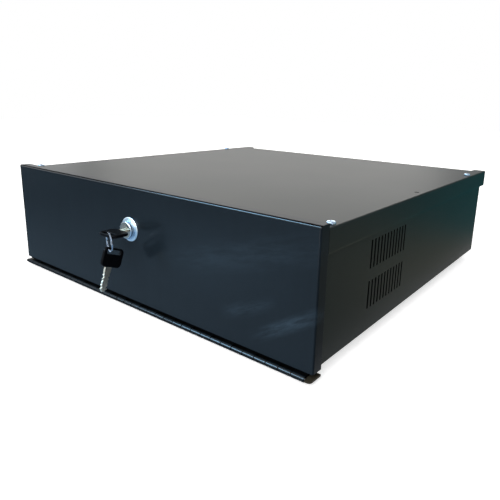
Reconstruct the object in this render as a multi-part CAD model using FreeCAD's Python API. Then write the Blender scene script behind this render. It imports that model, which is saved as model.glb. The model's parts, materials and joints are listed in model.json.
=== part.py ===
# Lockable sheet-steel equipment box with a drawer tray on telescopic slides.
# The drawer carries a drop-down front on a continuous hinge, closed by a cam lock.
# Millimetres. X to the right, Y to the rear, Z up. The origin is the middle of the
# four fixing holes in the underside of the case.
import FreeCAD, Part
import math
import os

from FreeCAD import Vector

# ---- sheet and outline ----
WIDTH = 457.2            # over the cover and the drop-down front
CASE_DEPTH = 437.4
COVER_TOP = 119.0        # height of the cover above the underside of the case
SHEET = 1.5
BEND = 1.8               # outside radius of a fold
SEAM = 0.1               # between sheets that lap
GAP = 0.3                # between parts that pass each other

# ---- case ----
TOP_FLANGE = 14.0
RAIL_DROP = 15.5         # height of the strike rail behind the front's top edge
RAIL_LEG = 13.0
REAR_FLANGE = 12.0
FIXING_HOLE = 6.0
FIXING_SPACING_X = 300.0
FIXING_SPACING_Y = 300.0

# ---- side vents ----
VENT_SLOTS = 12
VENT_PITCH = 7.0
VENT_WIDTH = 3.0
VENT_HEIGHT = 27.7
VENT_START = 82.3        # from the front edge of the case to the first slot
VENT_LOW = 24.0
VENT_HIGH = 64.0

# ---- cover ----
COVER_SKIRT = 21.0
EAR_DEPTH = 14.6
EAR_WIDTH = 16.0
SCREW_INSET = 6.5
SCREW_FRONT = 12.5       # from the front edge of the case
SCREW_REAR = 55.7        # from the rear edge of the case
SCREW_SIZE = 4.0
SCREW_HEAD = 8.0
SCREW_HEAD_HEIGHT = 2.6
SCREW_HEAD_EDGE = 1.2    # upright edge below the crown
SCREW_CROWN = 5.0        # width of the crown
SCREW_SHANK = 8.0
RECESS_LENGTH = 4.4      # of the cross for the driver
RECESS_WIDTH = 0.9
RECESS_DEPTH = 1.4
SPARE_HOLE = 5.0
SPARE_HOLE_INSET = 8.7
SPARE_HOLE_BACK = 201.0

# ---- rear ----
CABLE_HOLE = 32.0
CABLE_INSET = 77.0       # of a cable hole's middle from the case side
CABLE_HEIGHT = 60.0
GROMMET_BORE = 24.0
GROMMET_LIP = 3.0
GROMMET_FLANGE = 2.0
GROMMET_CHAMFER = 1.0
REAR_RIVETS = 4
REAR_RIVET_PITCH = 90.2
REAR_SLOTS = 10
REAR_SLOT_PITCH = 8.0
REAR_SLOT_HEIGHT = 30.0

# ---- feet ----
FOOT_SIZE = 22.0
FOOT_TOP = 18.0
FOOT_HEIGHT = 12.0
FOOT_INSET_X = 37.0      # of a foot's middle from the case side
FOOT_INSET_Y = 38.7
FOOT_SCREW = 4.0
FOOT_RECESS = 4.0
FOOT_NUT = 2.0
FOOT_NUT_FLATS = 7.0

# ---- slides ----
SLIDE_HEIGHT = 21.0
SLIDE_THICK = 12.5
SLIDE_WALL = 1.2
RACE_WALL = 1.0
SLIDE_REAR_ROOM = 35.4   # behind the slides, to the rear edge of the case
SLIDE_SET_BACK = 2.0
SLIDE_LIFT = 2.2         # above the case floor's underside
BALL = 2.6
BALL_PLAY = 0.1
BALLS_PER_ROW = 2
CAGE_WALL = 0.5
CAGE_LENGTH = 200.0
CAGE_START = 90.0
CAGE_END = 10.0          # from a cage's end to its nearest ball
MIDDLE_WEB_AT = 3.0      # these four are measured from the case side
INNER_START = 5.6
OUTER_BALLS_AT = 6.6
INNER_BALLS_AT = 8.0
SLIDE_SCREWS = 3
SLIDE_SCREW = 3.0
SLIDE_SCREW_END = 40.0   # from a slide's end to its nearest screw
SLIDE_SCREW_HEAD = 5.7
SLIDE_SCREW_CROWN = 4.2
SLIDE_SCREW_HEAD_HEIGHT = 1.0

# ---- tray ----
TRAY_LIFT = 4.0
TRAY_WALL = 20.0
TRAY_REAR_ROOM = 36.3
TRAY_LIP = 9.5
SILL_SHEET = 2.0
SILL_BELOW = 5.9         # sill's top face below the underside of the case
SILL_LUG_CORNER = 3.5
SILL_LUG_REACH = 3.8     # lugs stand this far in front of the door's face
SILL_RIVETS = 5
SILL_RIVET_END = 30.0    # from the tray's side to the nearest rivet
RIVET = 4.0
RIVET_HEAD = 7.0
RIVET_CROWN = 3.8
RIVET_HEAD_HEIGHT = 1.1
RIVET_TAIL = 5.8
RIVET_TAIL_TIP = 4.4
RIVET_TAIL_HEIGHT = 1.1

# ---- drop-down front ----
DOOR_HEIGHT = 124.4
DOOR_DROP = 1.5          # below the underside of the case
DOOR_RETURN = 12.7

# ---- continuous hinge ----
BARREL = 5.0
PIN = 2.2
PIN_PLAY = 0.05
HINGE_LEAF = 1.2
HINGE_LENGTH = 445.0
KNUCKLES = 34
KNUCKLE_GAP = 0.5
AXIS_FORWARD = 2.0       # of the door's front face
LEAF_HEIGHT = 24.0
LEAF_DEPTH = 11.0

# ---- cam lock ----
LOCK_X = -2.1
LOCK_Z = 77.7
LOCK_BODY = 18.8
LOCK_HOLE = 19.2
LOCK_HEAD = 19.0
LOCK_HEAD_HEIGHT = 6.0
LOCK_HEAD_CHAMFER = 1.4
LOCK_COLLAR = 21.2
LOCK_COLLAR_HEIGHT = 0.8
LOCK_RIM = 26.0
LOCK_RIM_HEIGHT = 1.2
LOCK_RIM_SLOPE = 1.6
LOCK_RIM_EDGE = 0.5
LOCK_NUT_FLATS = 24.0
LOCK_NUT_HEIGHT = 5.0
PLUG = 12.0
PLUG_PLAY = 0.05
PLUG_SQUARE = 6.0
CAM_THICK = 2.0
CAM_REACH = 34.0
CAM_WIDTH = 14.0
CAM_NECK = 8.4
CAM_TIP = 4.2
CAM_TAPER = 4.2
CAM_SCREW = 3.0
CAM_SCREW_HEAD = 8.0
CAM_SCREW_HEAD_HEIGHT = 2.4
CAM_SCREW_SLOT = 1.0
CAM_SCREW_SLOT_DEPTH = 1.0

# ---- keys ----
BOW_WIDTH = 26.0
BOW_LENGTH = 20.0
BOW_SIDE = 2.5           # its middle stands this far to one side of the blade
BOW_THICK = 3.2
BOW_CORNER = 5.0
BOW_SLOT_WIDTH = 18.0
BOW_SLOT = 4.5
BOW_SLOT_CORNER = 1.2
BOW_EDGE = 0.6           # chamfer round both faces and the slot
BOW_BAR = 2.2
BLADE_WIDTH = 8.0
BLADE_THICK = 2.0
BLADE_LENGTH = 25.0
BLADE_TANG = 9.0
BLADE_POINT = 3.0        # length of the point
BLADE_POINT_WIDTH = 2.4
TANG_INSET = 0.5
BITS = 5
BIT_DEPTHS = (0.5, 1.4, 0.95, 0.5, 1.4)
BIT_PEAK = 0.2
GROOVE_WIDTH = 1.2
GROOVE_DEPTH = 0.5
GROOVE_END = 2.0
KEY_STAND_OFF = 5.3      # from the plug's face to the bow
KEYWAY_PLAY = 0.1
RING_RADIUS = 9.2
RING_WIRE = 1.6          # over the corners of its eight-sided section
RING_SIDES = 8
RING_ALONG = 7.0         # of its centre from the blade, along the bar that it hangs on
RING_DOWN = 6.2          # of its centre below the blade
RING_TURN = 70.0         # of its plane from the key's length
SPARE_TURN = 97.0        # of the spare key's plane from the front
SPARE_LEAN = 21.0
SPARE_OFFSET = 2.8       # of the spare key's blade from the ring
SPARE_PLAY = 0.9         # between the wire and the bar that hangs on it

# ---- worked-out places ----
HALF = WIDTH / 2
CASE_HALF = HALF - SHEET - SEAM
CASE_INSIDE = CASE_HALF - SHEET
CASE_TOP = COVER_TOP - SHEET
FRONT = -CASE_DEPTH / 2
REAR = CASE_DEPTH / 2
DOOR_BACK = FRONT - GAP
DOOR_FACE = DOOR_BACK - DOOR_RETURN
DOOR_INSIDE = DOOR_FACE + SHEET
DOOR_BOTTOM = -DOOR_DROP
DOOR_TOP = DOOR_BOTTOM + DOOR_HEIGHT
TRAY_HALF = CASE_INSIDE - SLIDE_THICK
HINGE_Y = DOOR_FACE - AXIS_FORWARD
SILL_UNDER = -SILL_BELOW - SILL_SHEET
HINGE_Z = SILL_UNDER - HINGE_LEAF + BARREL / 2
SILL_BACK = FRONT - GAP - SEAM
RAIL_BACK = FRONT + SHEET
CAM_FRONT = RAIL_BACK + GAP
SLIDE_Z = SLIDE_LIFT + SLIDE_HEIGHT / 2
SLIDE_FRONT = FRONT + SLIDE_SET_BACK
SLIDE_LENGTH = REAR - SLIDE_REAR_ROOM - SLIDE_FRONT
FOOT_X = CASE_HALF - FOOT_INSET_X
FOOT_Y = REAR - FOOT_INSET_Y
CABLE_X = CASE_HALF - CABLE_INSET
REAR_RIVET_Y = REAR - (REAR_FLANGE + SHEET) / 2
TRAY_REAR = REAR - TRAY_REAR_ROOM
LIP_FRONT = SILL_BACK - SILL_SHEET - SHEET
SILL_RIVET_Z = TRAY_LIFT - TRAY_LIP / 2
SILL_TOP = -SILL_BELOW
SILL_NOTCH = HINGE_Y + BARREL / 2 + GAP + SEAM
LUG_INNER = HINGE_LENGTH / 2 + GAP + SEAM
LUG_FRONT = DOOR_FACE - SILL_LUG_REACH

# ---- worked-out sections of the slides ----
OUTER_HALF = SLIDE_HEIGHT / 2
OUTER_INSIDE = OUTER_HALF - SLIDE_WALL
BALL_ROOM = BALL + 2 * BALL_PLAY
MIDDLE_HALF = OUTER_INSIDE - BALL_ROOM
MIDDLE_INSIDE = MIDDLE_HALF - RACE_WALL
INNER_HALF = MIDDLE_INSIDE - BALL_ROOM
MIDDLE_REACH = SLIDE_THICK - SLIDE_WALL - 2 * GAP
OUTER_REACH = SLIDE_THICK - SLIDE_WALL - GAP

# ---- worked-out places along the lock ----
BODY_BACK = CAM_FRONT - SEAM - GAP
CAM_BACK = CAM_FRONT + CAM_THICK
RIM_FRONT = DOOR_FACE - LOCK_RIM_HEIGHT
COLLAR_FRONT = RIM_FRONT - LOCK_COLLAR_HEIGHT
HEAD_FRONT = DOOR_FACE - LOCK_HEAD_HEIGHT
BOW_OUTER_Y = HEAD_FRONT - KEY_STAND_OFF - BOW_LENGTH

# ---- the ring hangs upright on the bar at the bow's outer edge ----
RING_RUN = Vector(math.sin(math.radians(RING_TURN)), -math.cos(math.radians(RING_TURN)), 0)
RING_CENTRE = Vector(LOCK_X + RING_ALONG, BOW_OUTER_Y + BOW_BAR / 2, LOCK_Z - RING_DOWN)
RING_AXIS = RING_RUN.cross(Vector(0, 0, 1))
SPARE_PIVOT = RING_CENTRE - Vector(0, 0, RING_RADIUS)


# ---- shape helpers ----
def block(x0, x1, y0, y1, z0, z1):
    return Part.makeBox(x1 - x0, y1 - y0, z1 - z0, Vector(x0, y0, z0))


def rod(radius, start, axis, length):
    return Part.makeCylinder(radius, length, Vector(*start), Vector(*axis))


def face_of(points):
    wire = Part.makePolygon([Vector(*p) for p in points] + [Vector(*points[0])])
    return Part.Face(wire)


def along_x(points_yz, x0, x1):
    face = face_of([(x0, y, z) for y, z in points_yz])
    return face.extrude(Vector(x1 - x0, 0, 0))


def along_y(points_xz, y0, y1):
    face = face_of([(x, y0, z) for x, z in points_xz])
    return face.extrude(Vector(0, y1 - y0, 0))


def fuse(shapes):
    first = shapes[0]
    if len(shapes) == 1:
        return first
    return first.multiFuse(shapes[1:]).removeSplitter()


def cut(shape, tools):
    return shape.cut(Part.makeCompound(tools)) if tools else shape


def mirrored(shape):
    return shape.mirror(Vector(0, 0, 0), Vector(1, 0, 0))


def both_sides(shape):
    return [shape, mirrored(shape)]


def rounded(shape, radius, wanted):
    edges = [e for e in shape.Edges if wanted(e)]
    return shape.makeFillet(radius, edges) if edges else shape


def runs_along(edge, direction):
    if len(edge.Vertexes) != 2 or edge.Curve.TypeId != "Part::GeomLine":
        return False
    run = edge.Vertexes[1].Point - edge.Vertexes[0].Point
    return abs(abs(run.normalize().dot(direction)) - 1) < 1e-6


def middle(edge):
    return edge.BoundBox.Center


def solids_of(shapes):
    return Part.makeCompound([s for shape in shapes for s in shape.Solids])


def save(name, shape):
    solids = shape.Solids
    for solid in solids:
        if not solid.isValid():
            raise ValueError("bad solid in " + name)
    kept = solids[0] if len(solids) == 1 else Part.makeCompound(solids)
    kept.exportStep("parts/" + name + ".step")


def hexagon(flats, thickness, centre, axis):
    radius = flats / math.sqrt(3)
    corners = [(radius * math.cos(math.radians(60 * n)), radius * math.sin(math.radians(60 * n)), 0)
               for n in range(6)]
    nut = face_of(corners).extrude(Vector(0, 0, thickness))
    nut.Placement = FreeCAD.Placement(Vector(*centre), FreeCAD.Rotation(Vector(0, 0, 1), Vector(*axis)))
    return nut


# ---- fasteners ----
def pan_head(x, y, z):
    """A cross-recess pan head screw seated at height z, pointing down."""
    radius = SCREW_HEAD / 2
    edge = rod(radius, (0, 0, 0), (0, 0, 1), SCREW_HEAD_EDGE)
    crown = Part.makeCone(radius, SCREW_CROWN / 2, SCREW_HEAD_HEIGHT - SCREW_HEAD_EDGE,
                          Vector(0, 0, SCREW_HEAD_EDGE), Vector(0, 0, 1))
    shank = rod(SCREW_SIZE / 2, (0, 0, -SCREW_SHANK), (0, 0, 1), SCREW_SHANK)
    wing = block(-RECESS_WIDTH / 2, RECESS_WIDTH / 2, -RECESS_LENGTH / 2, RECESS_LENGTH / 2,
                 SCREW_HEAD_HEIGHT - RECESS_DEPTH, SCREW_HEAD_HEIGHT + GAP)
    turned_wing = wing.copy()
    turned_wing.rotate(Vector(0, 0, 0), Vector(0, 0, 1), 90)
    screw = cut(fuse([edge, crown, shank]), [fuse([wing, turned_wing])])
    screw.translate(Vector(x, y, z))
    return screw


def slide_screw(x, y, out, depth):
    """Low-headed screw with its head inside the tray, pointing along -out."""
    seat = Vector(x, y, SLIDE_Z)
    head = Part.makeCone(SLIDE_SCREW_HEAD / 2, SLIDE_SCREW_CROWN / 2, SLIDE_SCREW_HEAD_HEIGHT, seat, out)
    shank = Part.makeCylinder(SLIDE_SCREW / 2, depth, seat - out * depth, out)
    return fuse([head, shank])


def rivet(seat, out, depth):
    """Domed head standing on a seat, with a shank of the given depth."""
    head = Part.makeCone(RIVET_HEAD / 2, RIVET_CROWN / 2, RIVET_HEAD_HEIGHT, seat, out)
    shank = Part.makeCylinder(RIVET / 2, depth, seat - out * depth, out)
    return fuse([head, shank])


def blind_rivet(seat, out, depth):
    """A rivet with its tail set on the far side."""
    far = seat - out * (depth + RIVET_TAIL_HEIGHT)
    tail = Part.makeCone(RIVET_TAIL_TIP / 2, RIVET_TAIL / 2, RIVET_TAIL_HEIGHT, far, out)
    return fuse([rivet(seat, out, depth), tail])


# ---- case ----
def four_corners(x, y):
    return [(sx * x, sy * y) for sx in (-1, 1) for sy in (-1, 1)]


def cover_screw_places():
    x = HALF - SCREW_INSET
    rows = (FRONT + SCREW_FRONT, REAR - SCREW_REAR)
    return [(side * x, y) for side in (-1, 1) for y in rows]


def spare_hole_places():
    return [(side * (HALF - SPARE_HOLE_INSET), FRONT + SPARE_HOLE_BACK) for side in (-1, 1)]


def vent_tools():
    """Upright slots through the right side, in two rows."""
    tools = []
    for low in (VENT_LOW, VENT_HIGH):
        for number in range(VENT_SLOTS):
            y = FRONT + VENT_START + number * VENT_PITCH
            tools.append(block(CASE_INSIDE - GAP, CASE_HALF + GAP, y - VENT_WIDTH / 2, y + VENT_WIDTH / 2,
                               low, low + VENT_HEIGHT))
    return tools


def slide_screw_places():
    step = (SLIDE_LENGTH - 2 * SLIDE_SCREW_END) / (SLIDE_SCREWS - 1)
    return [SLIDE_FRONT + SLIDE_SCREW_END + number * step for number in range(SLIDE_SCREWS)]


def rear_rivet_places():
    return [(number - (REAR_RIVETS - 1) / 2) * REAR_RIVET_PITCH for number in range(REAR_RIVETS)]


def case_shell():
    """Floor and two sides folded from one sheet, with flanges under the cover."""
    outline = [(-CASE_HALF, CASE_TOP), (-CASE_HALF, 0), (CASE_HALF, 0), (CASE_HALF, CASE_TOP),
               (CASE_HALF - TOP_FLANGE, CASE_TOP), (CASE_HALF - TOP_FLANGE, CASE_TOP - SHEET),
               (CASE_INSIDE, CASE_TOP - SHEET), (CASE_INSIDE, SHEET), (-CASE_INSIDE, SHEET),
               (-CASE_INSIDE, CASE_TOP - SHEET), (-CASE_HALF + TOP_FLANGE, CASE_TOP - SHEET),
               (-CASE_HALF + TOP_FLANGE, CASE_TOP)]
    shell = along_y(outline, FRONT, REAR)

    def outside_fold(edge):
        place = middle(edge)
        low = abs(place.z) < 1e-6
        return runs_along(edge, Vector(0, 1, 0)) and low and abs(abs(place.x) - CASE_HALF) < 1e-6

    shell = rounded(shell, BEND, outside_fold)
    tools = []
    for tool in vent_tools():
        tools += both_sides(tool)
    for x, y in cover_screw_places():
        tools.append(rod(SCREW_SIZE / 2 + SEAM, (x, y, CASE_TOP - 2 * SHEET), (0, 0, 1), 3 * SHEET))
    for x, y in spare_hole_places():
        tools.append(rod(SPARE_HOLE / 2, (x, y, CASE_TOP - 2 * SHEET), (0, 0, 1), 3 * SHEET))
    for x, y in four_corners(FIXING_SPACING_X / 2, FIXING_SPACING_Y / 2):
        tools.append(rod(FIXING_HOLE / 2, (x, y, -SHEET), (0, 0, 1), 3 * SHEET))
    for x, y in four_corners(FOOT_X, FOOT_Y):
        tools.append(rod(FOOT_SCREW / 2 + SEAM, (x, y, -SHEET), (0, 0, 1), 3 * SHEET))
    for x in rear_rivet_places():
        tools.append(rod(RIVET / 2 + SEAM, (x, REAR_RIVET_Y, -SHEET), (0, 0, 1), 3 * SHEET))
    tools.append(block(-CASE_INSIDE, CASE_INSIDE, FRONT - GAP, RAIL_BACK + SEAM, CASE_TOP - SHEET - SEAM,
                       CASE_TOP + SEAM))
    return cut(shell, tools)


def strike_rail():
    """Folded angle across the front opening that the lock's cam catches behind."""
    half = CASE_INSIDE - SEAM
    leg_half = CASE_HALF - TOP_FLANGE - SEAM
    web = block(-half, half, FRONT, RAIL_BACK, CASE_TOP - RAIL_DROP, CASE_TOP)
    leg = block(-leg_half, leg_half, FRONT, FRONT + RAIL_LEG, CASE_TOP - SHEET, CASE_TOP)
    return fuse([web, leg])


def rear_panel():
    """Back of the case: a pan that fits between the sides, with vents and cable holes."""
    half = CASE_INSIDE - SEAM
    inside = REAR - SHEET
    bottom = SHEET + SEAM
    top = CASE_TOP - SHEET - SEAM
    plate = block(-half, half, inside, REAR, bottom, top)
    returns = both_sides(block(half - SHEET, half, REAR - REAR_FLANGE, inside, bottom, top))
    foot = block(-half, half, REAR - REAR_FLANGE, inside, bottom, bottom + SHEET)
    head = block(-half, half, REAR - REAR_FLANGE, inside, top - SHEET, top)
    panel = fuse([plate, foot, head] + returns)
    tools = [rod(CABLE_HOLE / 2, (side * CABLE_X, inside - GAP, CABLE_HEIGHT), (0, 1, 0), SHEET + 2 * GAP)
             for side in (-1, 1)]
    for number in range(REAR_SLOTS):
        x = (number - (REAR_SLOTS - 1) / 2) * REAR_SLOT_PITCH
        tools.append(block(x - VENT_WIDTH / 2, x + VENT_WIDTH / 2, inside - GAP, REAR + GAP,
                           CABLE_HEIGHT - REAR_SLOT_HEIGHT / 2, CABLE_HEIGHT + REAR_SLOT_HEIGHT / 2))
    for x in rear_rivet_places():
        tools.append(rod(RIVET / 2 + SEAM, (x, REAR_RIVET_Y, 0), (0, 0, 1), 3 * SHEET))
    return cut(panel, tools)


def rear_rivets():
    """Blind rivets through the floor and the rear panel's lower flange."""
    depth = 2 * SHEET + SEAM
    return solids_of([blind_rivet(Vector(x, REAR_RIVET_Y, depth), Vector(0, 0, 1), depth)
                      for x in rear_rivet_places()])


def grommet(side):
    """Rubber ring that lines a cable hole."""
    bore = GROMMET_BORE / 2
    neck = CABLE_HOLE / 2 - SEAM
    lip = CABLE_HOLE / 2 + GROMMET_LIP
    inner = REAR - SHEET - GROMMET_FLANGE
    outer = REAR + GROMMET_FLANGE
    crown = lip - GROMMET_CHAMFER
    points = [(bore, inner), (crown, inner), (lip, REAR - SHEET), (neck, REAR - SHEET), (neck, REAR),
              (lip, REAR), (crown, outer), (bore, outer)]
    ring = face_of([(radius, y, 0) for radius, y in points])
    ring = ring.revolve(Vector(0, 0, 0), Vector(0, 1, 0), 360)
    ring.translate(Vector(side * CABLE_X, 0, CABLE_HEIGHT))
    return ring


def cover():
    """Lid with skirts down both sides and an ear past each rear corner."""
    skirt_end = COVER_TOP - COVER_SKIRT
    outline = [(-HALF, skirt_end), (-HALF, COVER_TOP), (HALF, COVER_TOP), (HALF, skirt_end),
               (HALF - SHEET, skirt_end), (HALF - SHEET, CASE_TOP), (-HALF + SHEET, CASE_TOP),
               (-HALF + SHEET, skirt_end)]
    lid = along_y(outline, FRONT, REAR + EAR_DEPTH)
    between_ears = block(-HALF + EAR_WIDTH, HALF - EAR_WIDTH, REAR, REAR + 2 * EAR_DEPTH, 0, COVER_TOP + GAP)
    lid = cut(lid, [between_ears])

    def fold(edge):
        place = middle(edge)
        high = abs(place.z - COVER_TOP) < 1e-6
        return runs_along(edge, Vector(0, 1, 0)) and high and abs(abs(place.x) - HALF) < 1e-6

    lid = rounded(lid, BEND, fold)
    tools = [rod(SCREW_SIZE / 2 + GAP, (x, y, CASE_TOP - SHEET), (0, 0, 1), 3 * SHEET)
             for x, y in cover_screw_places()]
    tools += [rod(SPARE_HOLE / 2, (x, y, CASE_TOP - SHEET), (0, 0, 1), 3 * SHEET)
              for x, y in spare_hole_places()]
    return cut(lid, tools)


def cover_screws():
    return solids_of([pan_head(x, y, COVER_TOP) for x, y in cover_screw_places()])


def rubber_feet():
    """Tapered bumpers, recessed for their screws."""
    feet = []
    for x, y in four_corners(FOOT_X, FOOT_Y):
        ground = Vector(x, y, -FOOT_HEIGHT)
        body = Part.makeCone(FOOT_TOP / 2, FOOT_SIZE / 2, FOOT_HEIGHT, ground, Vector(0, 0, 1))
        recess = rod(SCREW_HEAD / 2 + GAP, (x, y, -FOOT_HEIGHT), (0, 0, 1), FOOT_RECESS)
        hole = rod(FOOT_SCREW / 2 + SEAM, (x, y, -FOOT_HEIGHT), (0, 0, 1), FOOT_HEIGHT)
        feet.append(cut(body, [recess, hole]))
    return solids_of(feet)


def foot_screws():
    """Screws up through the feet, each with a nut on the case floor."""
    pieces = []
    seat = FOOT_RECESS - FOOT_HEIGHT
    for x, y in four_corners(FOOT_X, FOOT_Y):
        head = rod(SCREW_HEAD / 2, (x, y, seat - SCREW_HEAD_HEIGHT), (0, 0, 1), SCREW_HEAD_HEIGHT)
        shank = rod(FOOT_SCREW / 2, (x, y, seat), (0, 0, 1), SHEET - seat + FOOT_NUT)
        pieces.append(fuse([head, shank]))
    return solids_of(pieces)


def foot_nuts():
    nuts = []
    for x, y in four_corners(FOOT_X, FOOT_Y):
        nut = hexagon(FOOT_NUT_FLATS, FOOT_NUT, (x, y, SHEET), (0, 0, 1))
        nuts.append(cut(nut, [rod(FOOT_SCREW / 2 + PIN_PLAY, (x, y, 0), (0, 0, 1), 3 * FOOT_NUT)]))
    return solids_of(nuts)


# ---- telescopic slides, drawn on the left against the case side ----
def slide_section(points, y0, y1):
    """Extrudes a section given as (distance from the case side, height from the slide's middle)."""
    placed = [(-CASE_INSIDE + u, SLIDE_Z + w) for u, w in points]
    return along_y(placed, y0, y1)


def channel(web_at, web, half_height, wall, reach, y0, y1):
    """A channel whose web stands at web_at and whose flanges reach to reach."""
    points = [(web_at, half_height), (reach, half_height), (reach, half_height - wall),
              (web_at + web, half_height - wall), (web_at + web, wall - half_height),
              (reach, wall - half_height), (reach, -half_height), (web_at, -half_height)]
    return slide_section(points, y0, y1)


def slide_outer():
    """Case member, spot-welded to the case side."""
    return channel(0, SLIDE_WALL, OUTER_HALF, SLIDE_WALL, OUTER_REACH, SLIDE_FRONT,
                   SLIDE_FRONT + SLIDE_LENGTH)


def slide_middle():
    """Carries the drawer's members half as far as the drawer travels."""
    return channel(MIDDLE_WEB_AT, RACE_WALL, MIDDLE_HALF, RACE_WALL, MIDDLE_REACH, SLIDE_FRONT,
                   SLIDE_FRONT + SLIDE_LENGTH)


def slide_inner():
    """Drawer member: a plate on the tray's side with a narrow channel that runs in the middle member."""
    y0 = SLIDE_FRONT
    y1 = SLIDE_FRONT + SLIDE_LENGTH
    plate = slide_section([(SLIDE_THICK - SLIDE_WALL, OUTER_INSIDE), (SLIDE_THICK, OUTER_INSIDE),
                           (SLIDE_THICK, -OUTER_INSIDE), (SLIDE_THICK - SLIDE_WALL, -OUTER_INSIDE)], y0, y1)
    flanges = []
    for side in (-1, 1):
        low = side * (INNER_HALF - RACE_WALL)
        high = side * INNER_HALF
        flanges.append(slide_section([(INNER_START, low), (SLIDE_THICK, low), (SLIDE_THICK, high),
                                      (INNER_START, high)], y0, y1))
    member = fuse([plate] + flanges)
    holes = [rod(SLIDE_SCREW / 2 + SEAM, (-TRAY_HALF - SLIDE_THICK / 2, y, SLIDE_Z), (1, 0, 0), SLIDE_THICK)
             for y in slide_screw_places()]
    return cut(member, holes)


def ball_cage(web_at, ball_row, reach, balls_at):
    """Thin cage with a row of steel balls above and below, as separate solids."""
    y0 = SLIDE_FRONT + CAGE_START
    y1 = y0 + CAGE_LENGTH
    cage = channel(web_at, CAGE_WALL, ball_row + CAGE_WALL / 2, CAGE_WALL, reach, y0, y1)
    step = (CAGE_LENGTH - 2 * CAGE_END) / (BALLS_PER_ROW - 1)
    balls = []
    windows = []
    for number in range(BALLS_PER_ROW):
        for side in (-1, 1):
            centre = Vector(-CASE_INSIDE + balls_at, y0 + CAGE_END + number * step, SLIDE_Z + side * ball_row)
            balls.append(Part.makeSphere(BALL / 2, centre))
            windows.append(rod(BALL / 2 + BALL_PLAY, (centre.x, centre.y, centre.z - CAGE_WALL), (0, 0, 1),
                               2 * CAGE_WALL))
    return solids_of([cut(cage, windows)] + balls)


def outer_cage():
    web_at = MIDDLE_WEB_AT - GAP - CAGE_WALL
    return ball_cage(web_at, (OUTER_INSIDE + MIDDLE_HALF) / 2, OUTER_REACH - 2 * GAP, OUTER_BALLS_AT)


def inner_cage():
    web_at = (MIDDLE_WEB_AT + RACE_WALL + INNER_START - CAGE_WALL) / 2
    return ball_cage(web_at, (MIDDLE_INSIDE + INNER_HALF) / 2, MIDDLE_REACH - GAP, INNER_BALLS_AT)


def tray_slide_screws():
    """Screws from inside the tray into each drawer member."""
    depth = SHEET + SLIDE_WALL
    left = [slide_screw(-TRAY_HALF + SHEET, y, Vector(1, 0, 0), depth) for y in slide_screw_places()]
    return solids_of(left + [mirrored(screw) for screw in left])


# ---- drawer ----
def sill_rivet_places():
    step = 2 * (TRAY_HALF - SILL_RIVET_END) / (SILL_RIVETS - 1)
    return [(number - (SILL_RIVETS - 1) / 2) * step for number in range(SILL_RIVETS)]


def drawer_tray():
    """Shallow tray: floor, two sides, a rear wall and a lip folded down in front."""
    top = TRAY_LIFT + TRAY_WALL
    floor_top = TRAY_LIFT + SHEET
    floor = block(-TRAY_HALF, TRAY_HALF, LIP_FRONT, TRAY_REAR, TRAY_LIFT, floor_top)
    lip = block(-TRAY_HALF, TRAY_HALF, LIP_FRONT, LIP_FRONT + SHEET, TRAY_LIFT - TRAY_LIP, floor_top)
    sides = both_sides(block(TRAY_HALF - SHEET, TRAY_HALF, FRONT + GAP, TRAY_REAR, TRAY_LIFT, top))
    back = block(-TRAY_HALF, TRAY_HALF, TRAY_REAR - SHEET, TRAY_REAR, TRAY_LIFT, top)
    tray = fuse([floor, lip, back] + sides)
    tools = []
    for y in slide_screw_places():
        hole = rod(SLIDE_SCREW / 2 + SEAM, (TRAY_HALF - 2 * SHEET, y, SLIDE_Z), (1, 0, 0), 3 * SHEET)
        tools += both_sides(hole)
    for x in sill_rivet_places():
        tools.append(rod(RIVET / 2 + SEAM, (x, LIP_FRONT - SHEET, SILL_RIVET_Z), (0, 1, 0), 3 * SHEET))
    return cut(tray, tools)


def front_sill():
    """Angle below the drop-down front: carries the hinge and ends in a lug at each side."""
    shelf = block(-HALF, HALF, LUG_FRONT, SILL_BACK, SILL_UNDER, SILL_TOP)

    def lug_corner(edge):
        place = middle(edge)
        return runs_along(edge, Vector(0, 0, 1)) and abs(place.y - LUG_FRONT) < 1e-6

    shelf = rounded(shelf, SILL_LUG_CORNER, lug_corner)
    barrel_notch = block(-LUG_INNER, LUG_INNER, LUG_FRONT - GAP, SILL_NOTCH, SILL_UNDER - GAP, SILL_TOP + GAP)
    web = block(-TRAY_HALF, TRAY_HALF, SILL_BACK - SILL_SHEET, SILL_BACK, SILL_UNDER, TRAY_LIFT - SEAM)
    tools = [barrel_notch]
    for x in sill_rivet_places():
        tools.append(rod(RIVET / 2 + SEAM, (x, SILL_BACK - 2 * SILL_SHEET, SILL_RIVET_Z), (0, 1, 0),
                         3 * SILL_SHEET))
    return cut(fuse([shelf, web]), tools)


def sill_rivets():
    """Rivets through the tray's lip and the sill's web, headed at the front."""
    depth = SHEET + SILL_SHEET
    return solids_of([rivet(Vector(x, LIP_FRONT, SILL_RIVET_Z), Vector(0, -1, 0), depth)
                      for x in sill_rivet_places()])


# ---- continuous hinge ----
def knuckle_spans(first):
    """Every second knuckle along the barrel, starting with number first."""
    pitch = HINGE_LENGTH / KNUCKLES
    width = pitch - KNUCKLE_GAP
    starts = [number * pitch - HINGE_LENGTH / 2 + KNUCKLE_GAP / 2 for number in range(first, KNUCKLES, 2)]
    return [(start, start + width) for start in starts]


def knuckle(x0, x1, web_points):
    """One rolled knuckle with the strip that joins it to its leaf."""
    axis_start = (x0, HINGE_Y, HINGE_Z)
    barrel = rod(BARREL / 2, axis_start, (1, 0, 0), x1 - x0)
    web = along_x(web_points, x0, x1)
    bore = rod(PIN / 2 + PIN_PLAY, (x0 - GAP, HINGE_Y, HINGE_Z), (1, 0, 0), x1 - x0 + 2 * GAP)
    return fuse([barrel, web]).cut(bore)


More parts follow.
